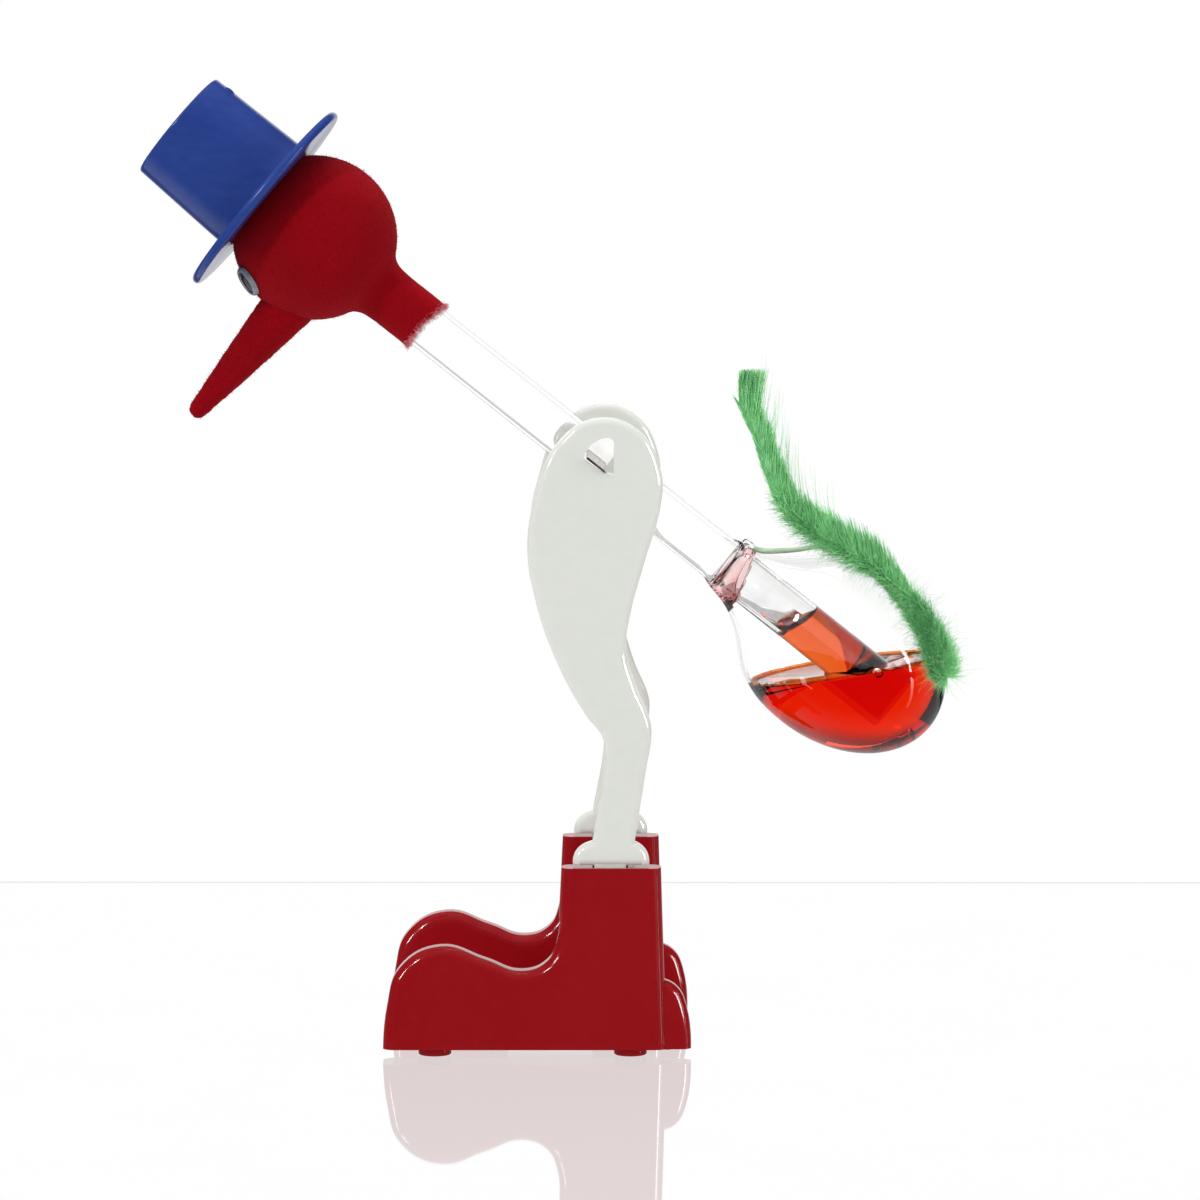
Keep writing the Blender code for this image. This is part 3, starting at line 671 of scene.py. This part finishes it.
def felt_beak():
    """Pointed flocked beak, let into the head."""
    widths = [tuple(p) for p in spline_through(BEAK_WIDTHS, 7)]
    widths = [(max(r, 0.0), z) for r, z in widths]
    shape = bmesh.new()
    revolve(shape, to_metres(widths + [(0.0, 8.5)]), 96, centre=0.0)
    place = BIRD @ Matrix.Translation(BEAK_ROOT) @ BEAK_TURN.to_4x4()
    obj = as_object(shape, "felt_bill", place, 60)
    roughen(obj, 0.0008, 0.00009)
    finish_piece(obj, "felt", "bird", "beak")


def sleeve_fibre():
    """Where a fibre at the sleeve's frayed end starts, and which way it goes."""
    angle = draw.uniform(0, 2 * math.pi)
    height = SLEEVE_END + 0.0001 * (1 - math.sin(angle)) - SLEEVE_SLANT * max(math.cos(angle), 0)
    height += draw.uniform(-0.0001, 0.0006)
    out = Vector((math.cos(angle), math.sin(angle), 0))
    spot = Vector((TUBE_X, 0, height)) + out * draw.uniform(0.0041, 0.00452)
    return spot, out * 0.2 + Vector((0, 0, -1.4))


def beak_fibre():
    """The same for a fibre on the beak."""
    angle, place = draw.uniform(0, 2 * math.pi), draw.uniform(12.0, 34.0)
    width = next(
        r0 + (r1 - r0) * (z0 - place) / (z0 - z1)
        for (r0, z0), (r1, z1) in zip(BEAK_WIDTHS, BEAK_WIDTHS[1:]) if z1 <= place <= z0)
    out = BEAK_TURN @ Vector((math.cos(angle), math.sin(angle), 0))
    return BEAK_ROOT + BEAK_TURN @ Vector((0, 0, place * MM)) + out * width * MM, out


def head_fibre():
    """The same for a fibre on the head; there is none under the hat or at the neck."""
    out = Vector([draw.gauss(0, 1) for _ in range(3)]).normalized()
    if out.z < -0.86 or out.z > 0.8:
        return None, None
    return Vector((TUBE_X, 0, HEAD_Z)) + out * FELT_RADIUS, out


def nap():
    """Short fibres that stand out of the flocked skin, longest at the sleeve's end."""
    skin, fringe = bmesh.new(), bmesh.new()
    kinds = ((sleeve_fibre, fringe, 2.4), (beak_fibre, skin, 1.0),
             (head_fibre, skin, 1.0), (head_fibre, skin, 1.0))
    for number in range(FIBRES):
        rooted, shape, stretch = kinds[number % len(kinds)]
        spot, way = rooted()
        if spot is None:
            continue
        loose = Vector([draw.gauss(0, 0.5) for _ in range(3)])
        way = (way + loose).normalized()
        length = draw.uniform(0.00015, 0.00034) * stretch
        start = spot - way * 0.0001
        route = [start, start + way * length, start + way * length * 1.6 + loose * 0.00008]
        tube_along(shape, route, [0.000022, 0.000018, 0.00001], 3)
    # The fringe fibres carry the pale pink of painted light shining through thin felt.
    finish_piece(as_object(fringe, "felt_fringe", BIRD, 60), "fray", "bird")
    finish_piece(as_object(skin, "felt_nap", BIRD, 60), "felt", "bird")


def eyes():
    """A pale ring with a domed black pupil on each side of the head."""
    for name, side in SIDES:
        out = Vector((EYE_WAY.x, EYE_WAY.y * side, EYE_WAY.z)).normalized()
        spot = Vector((TUBE_X, 0, HEAD_Z)) + out * (FELT_RADIUS + 0.00005)
        turn = BIRD @ Matrix.Translation(spot) @ out.to_track_quat("Z", "Y").to_matrix().to_4x4()
        ring = [(1.95, 0.42), (2.0, 0.58), (2.12, 0.64), (2.28, 0.58), (2.45, 0.42),
                (2.56, 0.2), (2.6, -0.15), (1.95, -0.15), (1.95, 0.42)]
        shape = bmesh.new()
        revolve(shape, to_metres(ring), 64, centre=0.0)
        bmesh.ops.remove_doubles(shape, verts=shape.verts, dist=1e-7)
        finish_piece(as_object(shape, f"{name}_eye_ring", turn, 50), "eye", "bird", f"{name}_eye")
        dome = [(0.0, 0.86), (0.5, 0.84), (0.95, 0.77), (1.35, 0.66), (1.7, 0.5), (1.9, 0.34),
                (1.93, -0.1), (0.0, -0.1)]
        shape = bmesh.new()
        revolve(shape, to_metres(dome), 48, centre=0.0)
        finish_piece(
            as_object(shape, f"{name}_eye_pupil", turn, 50), "pupil", "bird", f"{name}_pupil")


BRIM_Z, BRIM_RADIUS, BRIM_HALF = 0.0688, 17.5, 0.7
CROWN_HEIGHT, CROWN_TOP_RADIUS, CROWN_EDGE = 18.1, 9.5, 0.45
CROWN_SPREAD, CROWN_WALL = 0.5, 0.9
HAT_LEAN, HAT_ROLL = math.radians(1.5), math.radians(-2)


def hat():
    """Hollow moulded top hat with a small moulding mark at the back of its crown."""
    place = BIRD @ Matrix.Translation((TUBE_X, 0, BRIM_Z))
    place = place @ Matrix.Rotation(HAT_LEAN, 4, "Y") @ Matrix.Rotation(HAT_ROLL, 4, "X")
    shoulder, edge_z = CROWN_TOP_RADIUS - CROWN_EDGE, CROWN_HEIGHT - CROWN_EDGE
    top = [(radius, CROWN_HEIGHT) for radius in (0.0, 4.0, 7.0, 8.6)]
    edge = [(shoulder + CROWN_EDGE * math.sin(a), edge_z + CROWN_EDGE * math.cos(a))
            for a in [math.pi / 2 * s / 5 for s in range(6)]]
    side = [(CROWN_TOP_RADIUS + CROWN_SPREAD * s / 8, edge_z - (CROWN_HEIGHT - 1.6) * s / 8)
            for s in range(1, 9)]
    foot = [(10.08, 0.95), (10.25, 0.75), (10.5, BRIM_HALF), (13.5, BRIM_HALF)]
    rim = [(BRIM_RADIUS - BRIM_HALF + BRIM_HALF * math.sin(a), BRIM_HALF * math.cos(a))
           for a in [math.pi * s / 10 for s in range(11)]]
    ceiling = CROWN_HEIGHT - CROWN_WALL
    inside = [(13.5, -BRIM_HALF), (9.9, -BRIM_HALF), (9.4, -0.55), (9.12, -0.1), (9.1, 0.9),
              (8.6, ceiling - 0.4), (8.2, ceiling), (0.0, ceiling)]
    shape = bmesh.new()
    revolve(shape, to_metres(top + edge + side + foot + rim + inside), 144, centre=0.0)
    mark = Matrix.Translation((0.0093, -0.0012, 0.0150)) @ Matrix.Diagonal((0.9, 1, 1.9, 1))
    bmesh.ops.create_uvsphere(shape, u_segments=16, v_segments=8, radius=0.00055, matrix=mark)
    finish_piece(as_object(shape, "top_hat", place, 40), "hat", "bird", "hat")


# ---------------------------------------------------------------- clip
def clip():
    """Sheet band round the tube with a folded blade on each side, sharpened along its lower edge."""
    shape = bmesh.new()
    band = [(4.42, 3.9), (4.5, 3.82), (4.5, 3.0), (4.44, 2.6), (4.44, 1.3), (4.5, 0.9),
            (4.5, 0.08), (4.42, 0.0), (4.18, 0.0), (4.1, 0.08), (4.1, 3.82), (4.18, 3.9),
            (4.42, 3.9)]
    revolve(shape, to_metres(band), 96)
    bmesh.ops.remove_doubles(shape, verts=shape.verts, dist=1e-7)
    bmesh.ops.recalc_face_normals(shape, faces=shape.faces)
    finish_piece(as_object(shape, "clip_sheet", BIRD, 35), "metal", "bird", "pivot_clip")
    shape = bmesh.new()
    section = [(-0.2, 3.8), (-0.12, 3.9), (0.12, 3.9), (0.2, 3.8), (0.2, 0.55), (0.04, 0.0),
               (-0.04, 0.0), (-0.2, 0.55)]
    stations = [(4.2, 1.9), (4.6, 1.5), (5.2, 1.0), (6.5, 1.0), (12.0, 1.0), (18.0, 1.0),
                (20.2, 1.0), (20.4, 0.75)]
    for way in (-1, 1):
        rings = []
        for reach, swell in stations:
            rings.append([
                shape.verts.new((x * swell * MM, way * reach * MM, z * MM)) for x, z in section])
        skin(shape, rings)
        shape.faces.new(rings[0])
        shape.faces.new(rings[-1])
    bmesh.ops.recalc_face_normals(shape, faces=shape.faces)
    finish_piece(as_object(shape, "clip_blades", BIRD, 35), "blade", "bird")


# ---------------------------------------------------------------- legs and boots
# Millimetres from the pivot, or from the floor below it for the boot
SHARP = True
LEG_OUTLINE = (
    (-1.5, 8.5), (5.0, 6.6), (8.5, 0.4), (8.6, -4.8),
    (6.0, -14.0), (3.7, -22.6), (3.1, -27.6), (4.6, -33.6),
    (6.9, -39.2), (7.1, -41.2), (6.2, -47.2), (4.4, -58.6, SHARP),
    (4.2, -61.0, SHARP), (-2.6, -61.0, SHARP), (-2.2, -58.2, SHARP), (-0.25, -45.4),
    (-0.5, -42.0), (-3.4, -38.0), (-8.2, -28.9), (-11.3, -19.4),
    (-12.4, -11.4), (-11.1, -3.6), (-7.6, 4.7),
)
CUFF_OUTLINE = (
    (6.75, -62.0, SHARP), (6.7, -60.8), (5.9, -59.2), (4.4, -58.2),
    (2.0, -57.6), (0.5, -57.6), (-2.4, -58.2), (-4.3, -59.2),
    (-5.2, -60.8), (-5.25, -62.0, SHARP),
)
HOLE_OUTLINE = (
    (-0.42, -0.2, SHARP), (1.15, -0.2, SHARP), (1.15, 4.9, SHARP), (0.4, 5.45),
    (-1.8, 4.75), (-3.0, 3.6), (-3.6, 2.5, SHARP), (-3.5, 2.0, SHARP),
)
BOOT_OUTLINE = (
    (-35.4, -3.0, SHARP), (-34.6, 8.0), (-32.6, 14.0), (-26.2, 17.4),
    (-19.0, 15.3), (-13.4, 13.5), (-9.4, 15.0), (-7.7, 18.6),
    (-7.4, 24.0, SHARP), (-6.9, 34.0, SHARP), (8.5, 34.0, SHARP), (9.6, -3.0, SHARP),
)
SPUR_OUTLINE = (
    (0.0, -3.7, SHARP), (13.4, -3.7, SHARP), (12.6, 8.0), (10.9, 11.1),
    (8.0, 12.2), (0.0, 12.2, SHARP),
)
LEG_THICKNESS, LEG_FILLET = 0.0030, 0.0011
CUFF_THICKNESS = 0.00306
TENON_SIZE, TENON_X, TENON_TOP = (0.0050, 0.0022, 0.0100), 0.0006, -0.0600
SOLE, SHAFT_TOP = 0.0012, 0.0299
THICK_TOP, THICK_SOLE = 0.0048, 0.0068
BOOT_FILLET, SPUR_FILLET, SPUR_INSET = 0.0018, 0.0016, 0.0008
SLOT_DEPTH, TRIM_DEPTH = 0.0078, 0.0100
GAP = 0.0003
PAD_RADIUS, PAD_HEIGHT = 0.0026, 0.0022
PAD_PLACES = (("front", -0.0271), ("rear", 0.0038))


def leg(name, side):
    """Flat milky moulding with a pivot hole, ankle cuffs and a tenon."""
    spot = PIVOT + Vector((0, side * LEG_Y, 0))
    obj = plate(
        f"{name}_leg_moulding", LEG_OUTLINE, lambda z: LEG_THICKNESS / 2, LEG_FILLET, 7, spot)
    cuff = plate("cuff", CUFF_OUTLINE, lambda z: CUFF_THICKNESS / 2, LEG_FILLET, 7, spot)
    cut(obj, cuff, "UNION", "EXACT")
    hole = plate("hole", HOLE_OUTLINE, lambda z: 1.5 * LEG_THICKNESS, 0, 0, spot)
    cut(obj, hole, solver="EXACT")
    middle = spot + Vector((TENON_X, 0, TENON_TOP - TENON_SIZE[2] / 2))
    cut(obj, block("tenon", TENON_SIZE, middle, 0.0003), "UNION", "EXACT")
    smooth_shading(obj)
    finish_piece(obj, "leg", "stand", f"{name}_leg")


def drafted(sole_thickness):
    """Half the thickness of a moulding that tapers upwards, as a function of height."""
    slope = (THICK_TOP - THICK_SOLE) / (SHAFT_TOP - SOLE)
    return lambda z: (sole_thickness + slope * (z - SOLE)) / 2


def boot(name, side):
    """Boot with a rounded toe, a straight shaft, a heel spur and a slot for the leg."""
    spot = Vector((PIVOT.x, side * LEG_Y, 0))
    obj = plate(
        f"{name}_boot_moulding", BOOT_OUTLINE, drafted(THICK_SOLE), BOOT_FILLET, 8, spot, 8)
    spur = plate(
        "spur", SPUR_OUTLINE, drafted(THICK_SOLE - 2 * SPUR_INSET), SPUR_FILLET, 8, spot, 8)
    cut(obj, spur, "UNION", "EXACT")
    for height in (SHAFT_TOP + TRIM_DEPTH / 2, SOLE - TRIM_DEPTH / 2):
        trim = block("trim", (0.08, 0.02, TRIM_DEPTH), spot + Vector((-0.01, 0, height)))
        cut(obj, trim, solver="EXACT")
    length, width, height = TENON_SIZE
    slot = (length + 2 * GAP, width + 2 * GAP, height)
    slot_z = SHAFT_TOP - SLOT_DEPTH - GAP + height / 2
    cut(obj, block("slot", slot, spot + Vector((TENON_X, 0, slot_z))), solver="EXACT")
    nub = puck("nub", 0.0009, SOLE - 0.0004, SOLE + 0.002, spot + Vector((0.0096, 0, 0)), 0.0002)
    cut(obj, nub, "UNION", "EXACT")
    smooth_shading(obj)
    finish_piece(obj, "boot", "stand", f"{name}_boot")
    for end, pad_x in PAD_PLACES:
        centre = spot + Vector((pad_x, 0, 0))
        pad = puck(f"{name}_{end}_foot", PAD_RADIUS, 0.0, PAD_HEIGHT, centre, 0.0003)
        finish_piece(pad, "boot", "stand", f"{name}_{end}_pad")


def bridge():
    """Low bar between the boots."""
    low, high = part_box("base_bridge")
    size = Vector(high) - Vector(low)
    obj = block("bridge_bar", size, (Vector(low) + Vector(high)) / 2, 0.0005, 4)
    finish_piece(obj, "boot", "stand", "base_bridge")


# ---------------------------------------------------------------- feather
SHAFT_ROUTE = (
    (23.6, -1.3, -13.5), (25.2, -1.9, -13.8), (27.8, -2.7, -13.7), (30.6, -3.6, -13.4), (33.2, -4.8, -12.9),
    (35.6, -6.2, -12.9), (38.4, -7.6, -13.9), (41.6, -8.8, -15.9), (45.7, -9.3, -20.0),
    (49.0, -9.5, -24.2), (51.2, -9.5, -28.6), (52.6, -9.6, -32.2), (54.0, -9.9, -33.2),
    (54.2, -10.1, -30.4), (52.6, -10.1, -26.2), (49.5, -10.0, -21.9), (45.6, -9.9, -18.3),
    (40.8, -9.8, -14.8), (35.3, -9.7, -11.6), (29.6, -9.6, -7.5), (25.9, -9.5, -1.6),
    (23.8, -9.5, 4.4), (21.0, -9.5, 10.2),
)


FOLD = 12.0 / 22.0
TOP_CUT = 0.0156


class Feather:
    """The feather's shaft and the strands that grow from it."""

    def __init__(self):
        self.route = [PIVOT + p * MM for p in spline_through(SHAFT_ROUTE, 8)]
        self.last = len(self.route) - 1
        self.shape = bmesh.new()

    def along(self, share):
        """The point at a share of the shaft's length, and the shaft's direction there."""
        place = share * self.last
        base = min(int(place), self.last - 1)
        spot = self.route[base].lerp(self.route[base + 1], place - base)
        ahead, behind = self.route[min(base + 2, self.last)], self.route[max(base - 1, 0)]
        return spot, (ahead - behind).normalized()

    def strand(self, spot, ways, length, radius, parts=4):
        """A thin hair that starts along the first way and bends to the second."""
        path = [spot.copy()]
        for part in range(parts):
            share = (part + 0.5) / parts
            way = ways[0].lerp(ways[1], share).normalized()
            path.append(path[-1] + way * length / parts)
        radii = [radius * (1.0 - 0.85 * number / parts) for number in range(parts + 1)]
        tube_along(self.shape, path, radii, 3)

    def down(self, count):
        """Soft barbs on all sides of the lower part, longest where the vane begins."""
        for _ in range(count):
            share = 0.33 + 0.56 * draw.random()
            spot, run = self.along(share)
            if share < FOLD:
                run = -run
            around = draw.uniform(0, 2 * math.pi)
            side = run.cross(Vector((0, 1, 0))).normalized()
            out = side * math.cos(around) + Vector((0, 1, 0)) * math.sin(around) * 0.7
            steep = draw.uniform(0.25, 1.3)
            first = (out + run * steep).normalized()
            curl = Vector([draw.gauss(0, 0.4) for _ in range(3)])
            second = out * draw.uniform(0.1, 0.9) + run * draw.uniform(0.2, 1.4) + curl
            if share < 0.42:
                reach = 0.9 + 1.9 * (share - 0.33) / 0.09
            elif share < 0.72:
                reach = 2.8
            else:
                reach = 2.6 + 1.7 * math.sin(math.pi * (share - 0.72) / 0.17)
            length = reach * MM * draw.uniform(0.45, 1.15)
            radius = draw.uniform(0.00004, 0.00009)
            self.strand(spot, (first, second.normalized()), length, radius)

    def vane(self, count):
        """Combed barbs in the plane of the vane, longer on its right and cut level at the top."""
        for _ in range(count):
            share = 0.70 + 0.30 * draw.random()
            spot, run = self.along(share)
            side = right_of(run)
            right = draw.random() < 0.72
            way = side if right else -side
            lift = Vector((0, draw.gauss(0, 0.10), 0))
            tip = (share - 0.70) / 0.30
            if right:
                spread = draw.uniform(0.30, 0.95)
            else:
                spread = draw.uniform(0.2, 0.7) * (1 - 0.6 * tip)
            first = (run + way * spread * 1.5 + lift).normalized()
            second = (run + way * spread * (0.1 + 0.25 * draw.random()) + lift).normalized()
            if right:
                second = (second * 0.5 + Vector((0.08, 0, 1)) * (1.0 - 0.6 * tip)).normalized()
            reach = (7.2 - 1.6 * tip) if right else 4.4 - 2.4 * tip
            reach *= min(1.0, 0.35 + 4.5 * tip)
            length = reach * MM * draw.uniform(0.5, 1.0)
            end_limit = (0.0155 + PIVOT.z - spot.z) / max(run.z, 0.2)
            length = min(length, max(0.0008, end_limit))
            self.strand(spot, (first, second), length, draw.uniform(0.00007, 0.00014), 5)

    def square_end(self, count):
        """Nearly parallel barbs that end at one height, with a few bent out to the left."""
        for number in range(count):
            share = 0.955 + 0.045 * draw.random()
            spot, run = self.along(share)
            bent = number % 40 == 0
            lean = 0.04 + 0.20 * draw.random() + 0.10 * draw.random()
            if bent:
                lean = -0.06 - 0.20 * draw.random()
            way = Vector((lean, draw.gauss(0, 0.06), 1)).normalized()
            top = draw.uniform(0.0125, 0.0155) if bent else TOP_CUT
            length = (top + PIVOT.z - spot.z) / way.z * draw.uniform(0.93, 1.0)
            radius = draw.uniform(0.00007, 0.00012)
            self.strand(spot, (run * 0.5 + way, way), length, radius, 5)

    def wisps(self, count):
        """Long single hairs that stand up on the right of the vane."""
        for _ in range(count):
            share = 0.80 + 0.17 * draw.random()
            spot, run = self.along(share)
            side = right_of(run)
            lift = Vector((0, draw.gauss(0, 0.12), 0))
            first = (run * 0.9 + side * draw.uniform(0.5, 1.0) + lift).normalized()
            second = Vector((draw.uniform(-0.05, 0.25), 0, 1)) + run * 0.2 + lift
            ways = (first, second.normalized())
            self.strand(spot, ways, draw.uniform(0.007, 0.0135), 0.000045, 6)

    def stray_hairs(self, count):
        """Fine hairs that stand out of the down in every direction."""
        for _ in range(count):
            share = 0.38 + 0.46 * draw.random()
            spot, run = self.along(share)
            out = Vector([draw.gauss(0, 1) for _ in range(3)])
            out.y *= 0.6
            first = (out - run * out.dot(run)).normalized()
            second = (first + Vector([draw.gauss(0, 0.8) for _ in range(3)])).normalized()
            self.strand(spot, (first, second), draw.uniform(0.0032, 0.0056), 0.00003, 6)


def right_of(run):
    """The side of the shaft, in the vane's plane, that lies towards the tail."""
    side = run.cross(Vector((0, 1, 0))).normalized()
    return -side if side.x < 0 else side


def feather():
    """Bare quill from the glue, bent double, with down on its lower part and a combed vane above."""
    plume = Feather()
    last = plume.last
    thick = [0.00042 * (1 - number / last) ** 1.4 + 0.00006 for number in range(last + 1)]
    shape = bmesh.new()
    tube_along(shape, plume.route, thick, 8)
    finish_piece(as_object(shape, "feather_shaft", None, 60), "quill", "bird", "feather_quill")
    plume.down(9500)
    plume.vane(4200)
    plume.square_end(560)
    plume.wisps(130)
    plume.stray_hairs(420)
    down = as_object(plume.shape, "feather_down", None, 60)
    finish_piece(down, "barb", "bird", "feather_plume")


GLUE_RADIUS = 0.00085
GLUE_PLACE = Vector((0.0042, -0.0009, -0.0258))


def glue():
    """Uneven drop of glue that holds the quill."""
    shape = bmesh.new()
    bmesh.ops.create_icosphere(shape, subdivisions=4, radius=GLUE_RADIUS)
    for vertex in shape.verts:
        vertex.co *= 1.0 + 0.35 * noise.noise(vertex.co * 1600)
        vertex.co = Vector((vertex.co.x * 0.7, vertex.co.y, vertex.co.z * 1.3))
    shape.transform(Matrix.Rotation(-LEAN, 4, "Y"))
    obj = as_object(shape, "glue_drop", Matrix.Translation(BIRD @ GLUE_PLACE), 60)
    finish_piece(obj, "glue", "bird", "feather_glue")


# ---------------------------------------------------------------- studio
def bare_tree(made):
    """The emptied node tree of a material or a world."""
    made.use_nodes = True
    made.node_tree.nodes.clear()
    return made.node_tree


def rim_look():
    """Slightly greyer far edge of the table."""
    made = bpy.data.materials.new("table_rim")
    tree = bare_tree(made)
    glow = add_node(tree, "ShaderNodeEmission", {"Strength": 0.80})
    add_node(tree, "ShaderNodeOutputMaterial", {"Surface": glow.outputs["Emission"]})
    return made


def table_look():
    """Evenly lit pale gloss; what the object mirrors of it is darker on the camera's side."""
    made = bpy.data.materials.new("table_top")
    tree = bare_tree(made)
    place = add_node(tree, "ShaderNodeTexCoord").outputs["Object"]
    specks = add_node(tree, "ShaderNodeTexNoise", {"Vector": place, "Scale": 35})
    tone = add_node(tree, "ShaderNodeMapRange", {
        "Value": specks.outputs["Fac"], "To Min": 0.985, "To Max": 1.0})
    split = add_node(tree, "ShaderNodeSeparateXYZ", {0: place})
    mirrored = add_node(tree, "ShaderNodeMapRange", {
        "Value": split.outputs["Y"], "From Min": -0.04, "From Max": 0.03, "To Min": 0.03, "To Max": 0.6})
    rays = add_node(tree, "ShaderNodeLightPath")
    seen = add_node(tree, "ShaderNodeMix", {
        0: rays.outputs["Is Glossy Ray"], 2: tone.outputs["Result"], 3: mirrored.outputs["Result"]},
        data_type="FLOAT")
    glow = add_node(tree, "ShaderNodeEmission", {"Strength": seen.outputs[0]})
    gloss = add_node(tree, "ShaderNodeBsdfGlossy", {"Roughness": 0.03, "Color": (1, 1, 1, 1)})
    share = add_node(tree, "ShaderNodeFresnel", {"IOR": 1.42})
    mix = add_node(tree, "ShaderNodeMixShader", {
        "Fac": share.outputs["Fac"], 1: glow.outputs["Emission"], 2: gloss.outputs["BSDF"]})
    add_node(tree, "ShaderNodeOutputMaterial", {"Surface": mix.outputs["Shader"]})
    return made


def floor():
    """Pale glossy table top with a thin rim behind."""
    shape = bmesh.new()
    corners = [(-0.9, -0.75), (0.9, -0.75), (0.9, 0.162), (-0.9, 0.168)]
    top = [shape.verts.new((x, y, 0)) for x, y in corners]
    shape.faces.new(top)
    rim = [top[3], top[2], shape.verts.new((0.9, 0.1635, 0)), shape.verts.new((-0.9, 0.1695, 0))]
    shape.faces.new(rim).material_index = 1
    obj = as_object(shape, "table_top")
    obj.data.materials.append(table_look())
    obj.data.materials.append(rim_look())


def world():
    """White surroundings; what surfaces mirror is dimmer on the camera's side."""
    made = bpy.data.worlds.new("studio")
    bpy.context.scene.world = made
    tree = bare_tree(made)
    rays = add_node(tree, "ShaderNodeLightPath")
    place = add_node(tree, "ShaderNodeTexCoord")
    split = add_node(tree, "ShaderNodeSeparateXYZ", {0: place.outputs["Generated"]})

    def ranged(axis, low, high, start, end):
        return add_node(tree, "ShaderNodeMapRange", {
            "Value": split.outputs[axis], "From Min": low, "From Max": high,
            "To Min": start, "To Max": end}, interpolation_type="SMOOTHSTEP").outputs["Result"]

    def combined(operation, a, b):
        return add_node(tree, "ShaderNodeMath", {0: a, 1: b}, operation=operation).outputs[0]

    def choose(rays_named, otherwise, then):
        return add_node(tree, "ShaderNodeMix", {
            0: rays.outputs[rays_named], 2: otherwise, 3: then}, data_type="FLOAT").outputs[0]

    behind = ranged("Y", 0.85, 0.97, 0.0, 1.0)
    low = combined("MULTIPLY", ranged("Z", -0.35, -0.2, 0.0, 1.0), ranged("Z", 0.30, 0.50, 1.0, 0.0))
    overhead = ranged("Z", 0.50, 0.95, 0.06, 0.30)
    mirrored = combined("MAXIMUM", combined("MULTIPLY", behind, low), overhead)
    through = ranged("Z", 0.42, 0.80, 1.15, 0.34)
    strength = choose("Is Glossy Ray", 0.62, mirrored)
    strength = choose("Is Transmission Ray", strength, through)
    strength = choose("Is Camera Ray", strength, 1.0)
    glow = add_node(tree, "ShaderNodeBackground", {"Color": (1, 1, 1, 1), "Strength": strength})
    add_node(tree, "ShaderNodeOutputWorld", {"Surface": glow.outputs["Background"]})


def lamp(name, size, power, place, height):
    """A rectangular lamp that faces the object's middle at a height."""
    data = bpy.data.lights.new(name, "AREA")
    data.shape = "RECTANGLE"
    data.size, data.size_y = size
    data.energy = power
    obj = bpy.data.objects.new(name, data)
    obj.location = place
    aim = Vector((0, 0, height)) - Vector(place)
    obj.rotation_euler = aim.to_track_quat("-Z", "Y").to_euler()
    bpy.context.scene.collection.objects.link(obj)
    return obj


def lamps():
    """Soft lamps for everything, and two cards that only the legs and boots mirror."""
    lamp("key", (0.09, 0.16), 3.2, (-0.55, -0.62, 0.62), 0.06)
    lamp("side", (0.06, 0.50), 1.4, (0.85, -0.24, 0.28), 0.07)
    lamp("top", (0.60, 0.60), 5.0, (0.0, 0.25, 0.95), 0.06).visible_glossy = False
    moulded = bpy.data.collections.new("moulded")
    for obj in list(bpy.data.objects):
        if obj.name.endswith("_moulding"):
            moulded.objects.link(obj)
    for name, size, power, place in (
            ("right_card", (0.22, 0.50), 16.0, (0.80, -0.60, 0.30)),
            ("left_card", (0.12, 0.22), 4.5, (-0.78, -0.55, 0.42))):
        card = lamp(name, size, power, place, 0.06)
        card.visible_diffuse = False
        card.light_linking.receiver_collection = moulded


def camera():
    """A long lens level with the hat, looking slightly down, as in the photograph."""
    data = bpy.data.cameras.new("camera")
    data.sensor_width = 36
    data.lens = 167.6
    data.clip_start, data.clip_end = 0.05, 20
    obj = bpy.data.objects.new("camera", data)
    obj.location = (PIVOT.x - 0.001, -0.890, 0.1573)
    obj.rotation_euler = (math.radians(84.42), 0, 0)
    bpy.context.scene.collection.objects.link(obj)
    bpy.context.scene.camera = obj
    bpy.context.scene.view_settings.view_transform = "Standard"


looks = make_looks()
glass_vessel()
liquid()
felt_head()
felt_beak()
nap()
eyes()
hat()
clip()
for name, side in SIDES:
    leg(name, side)
    boot(name, side)
bridge()
feather()
glue()
floor()
world()
lamps()
camera()
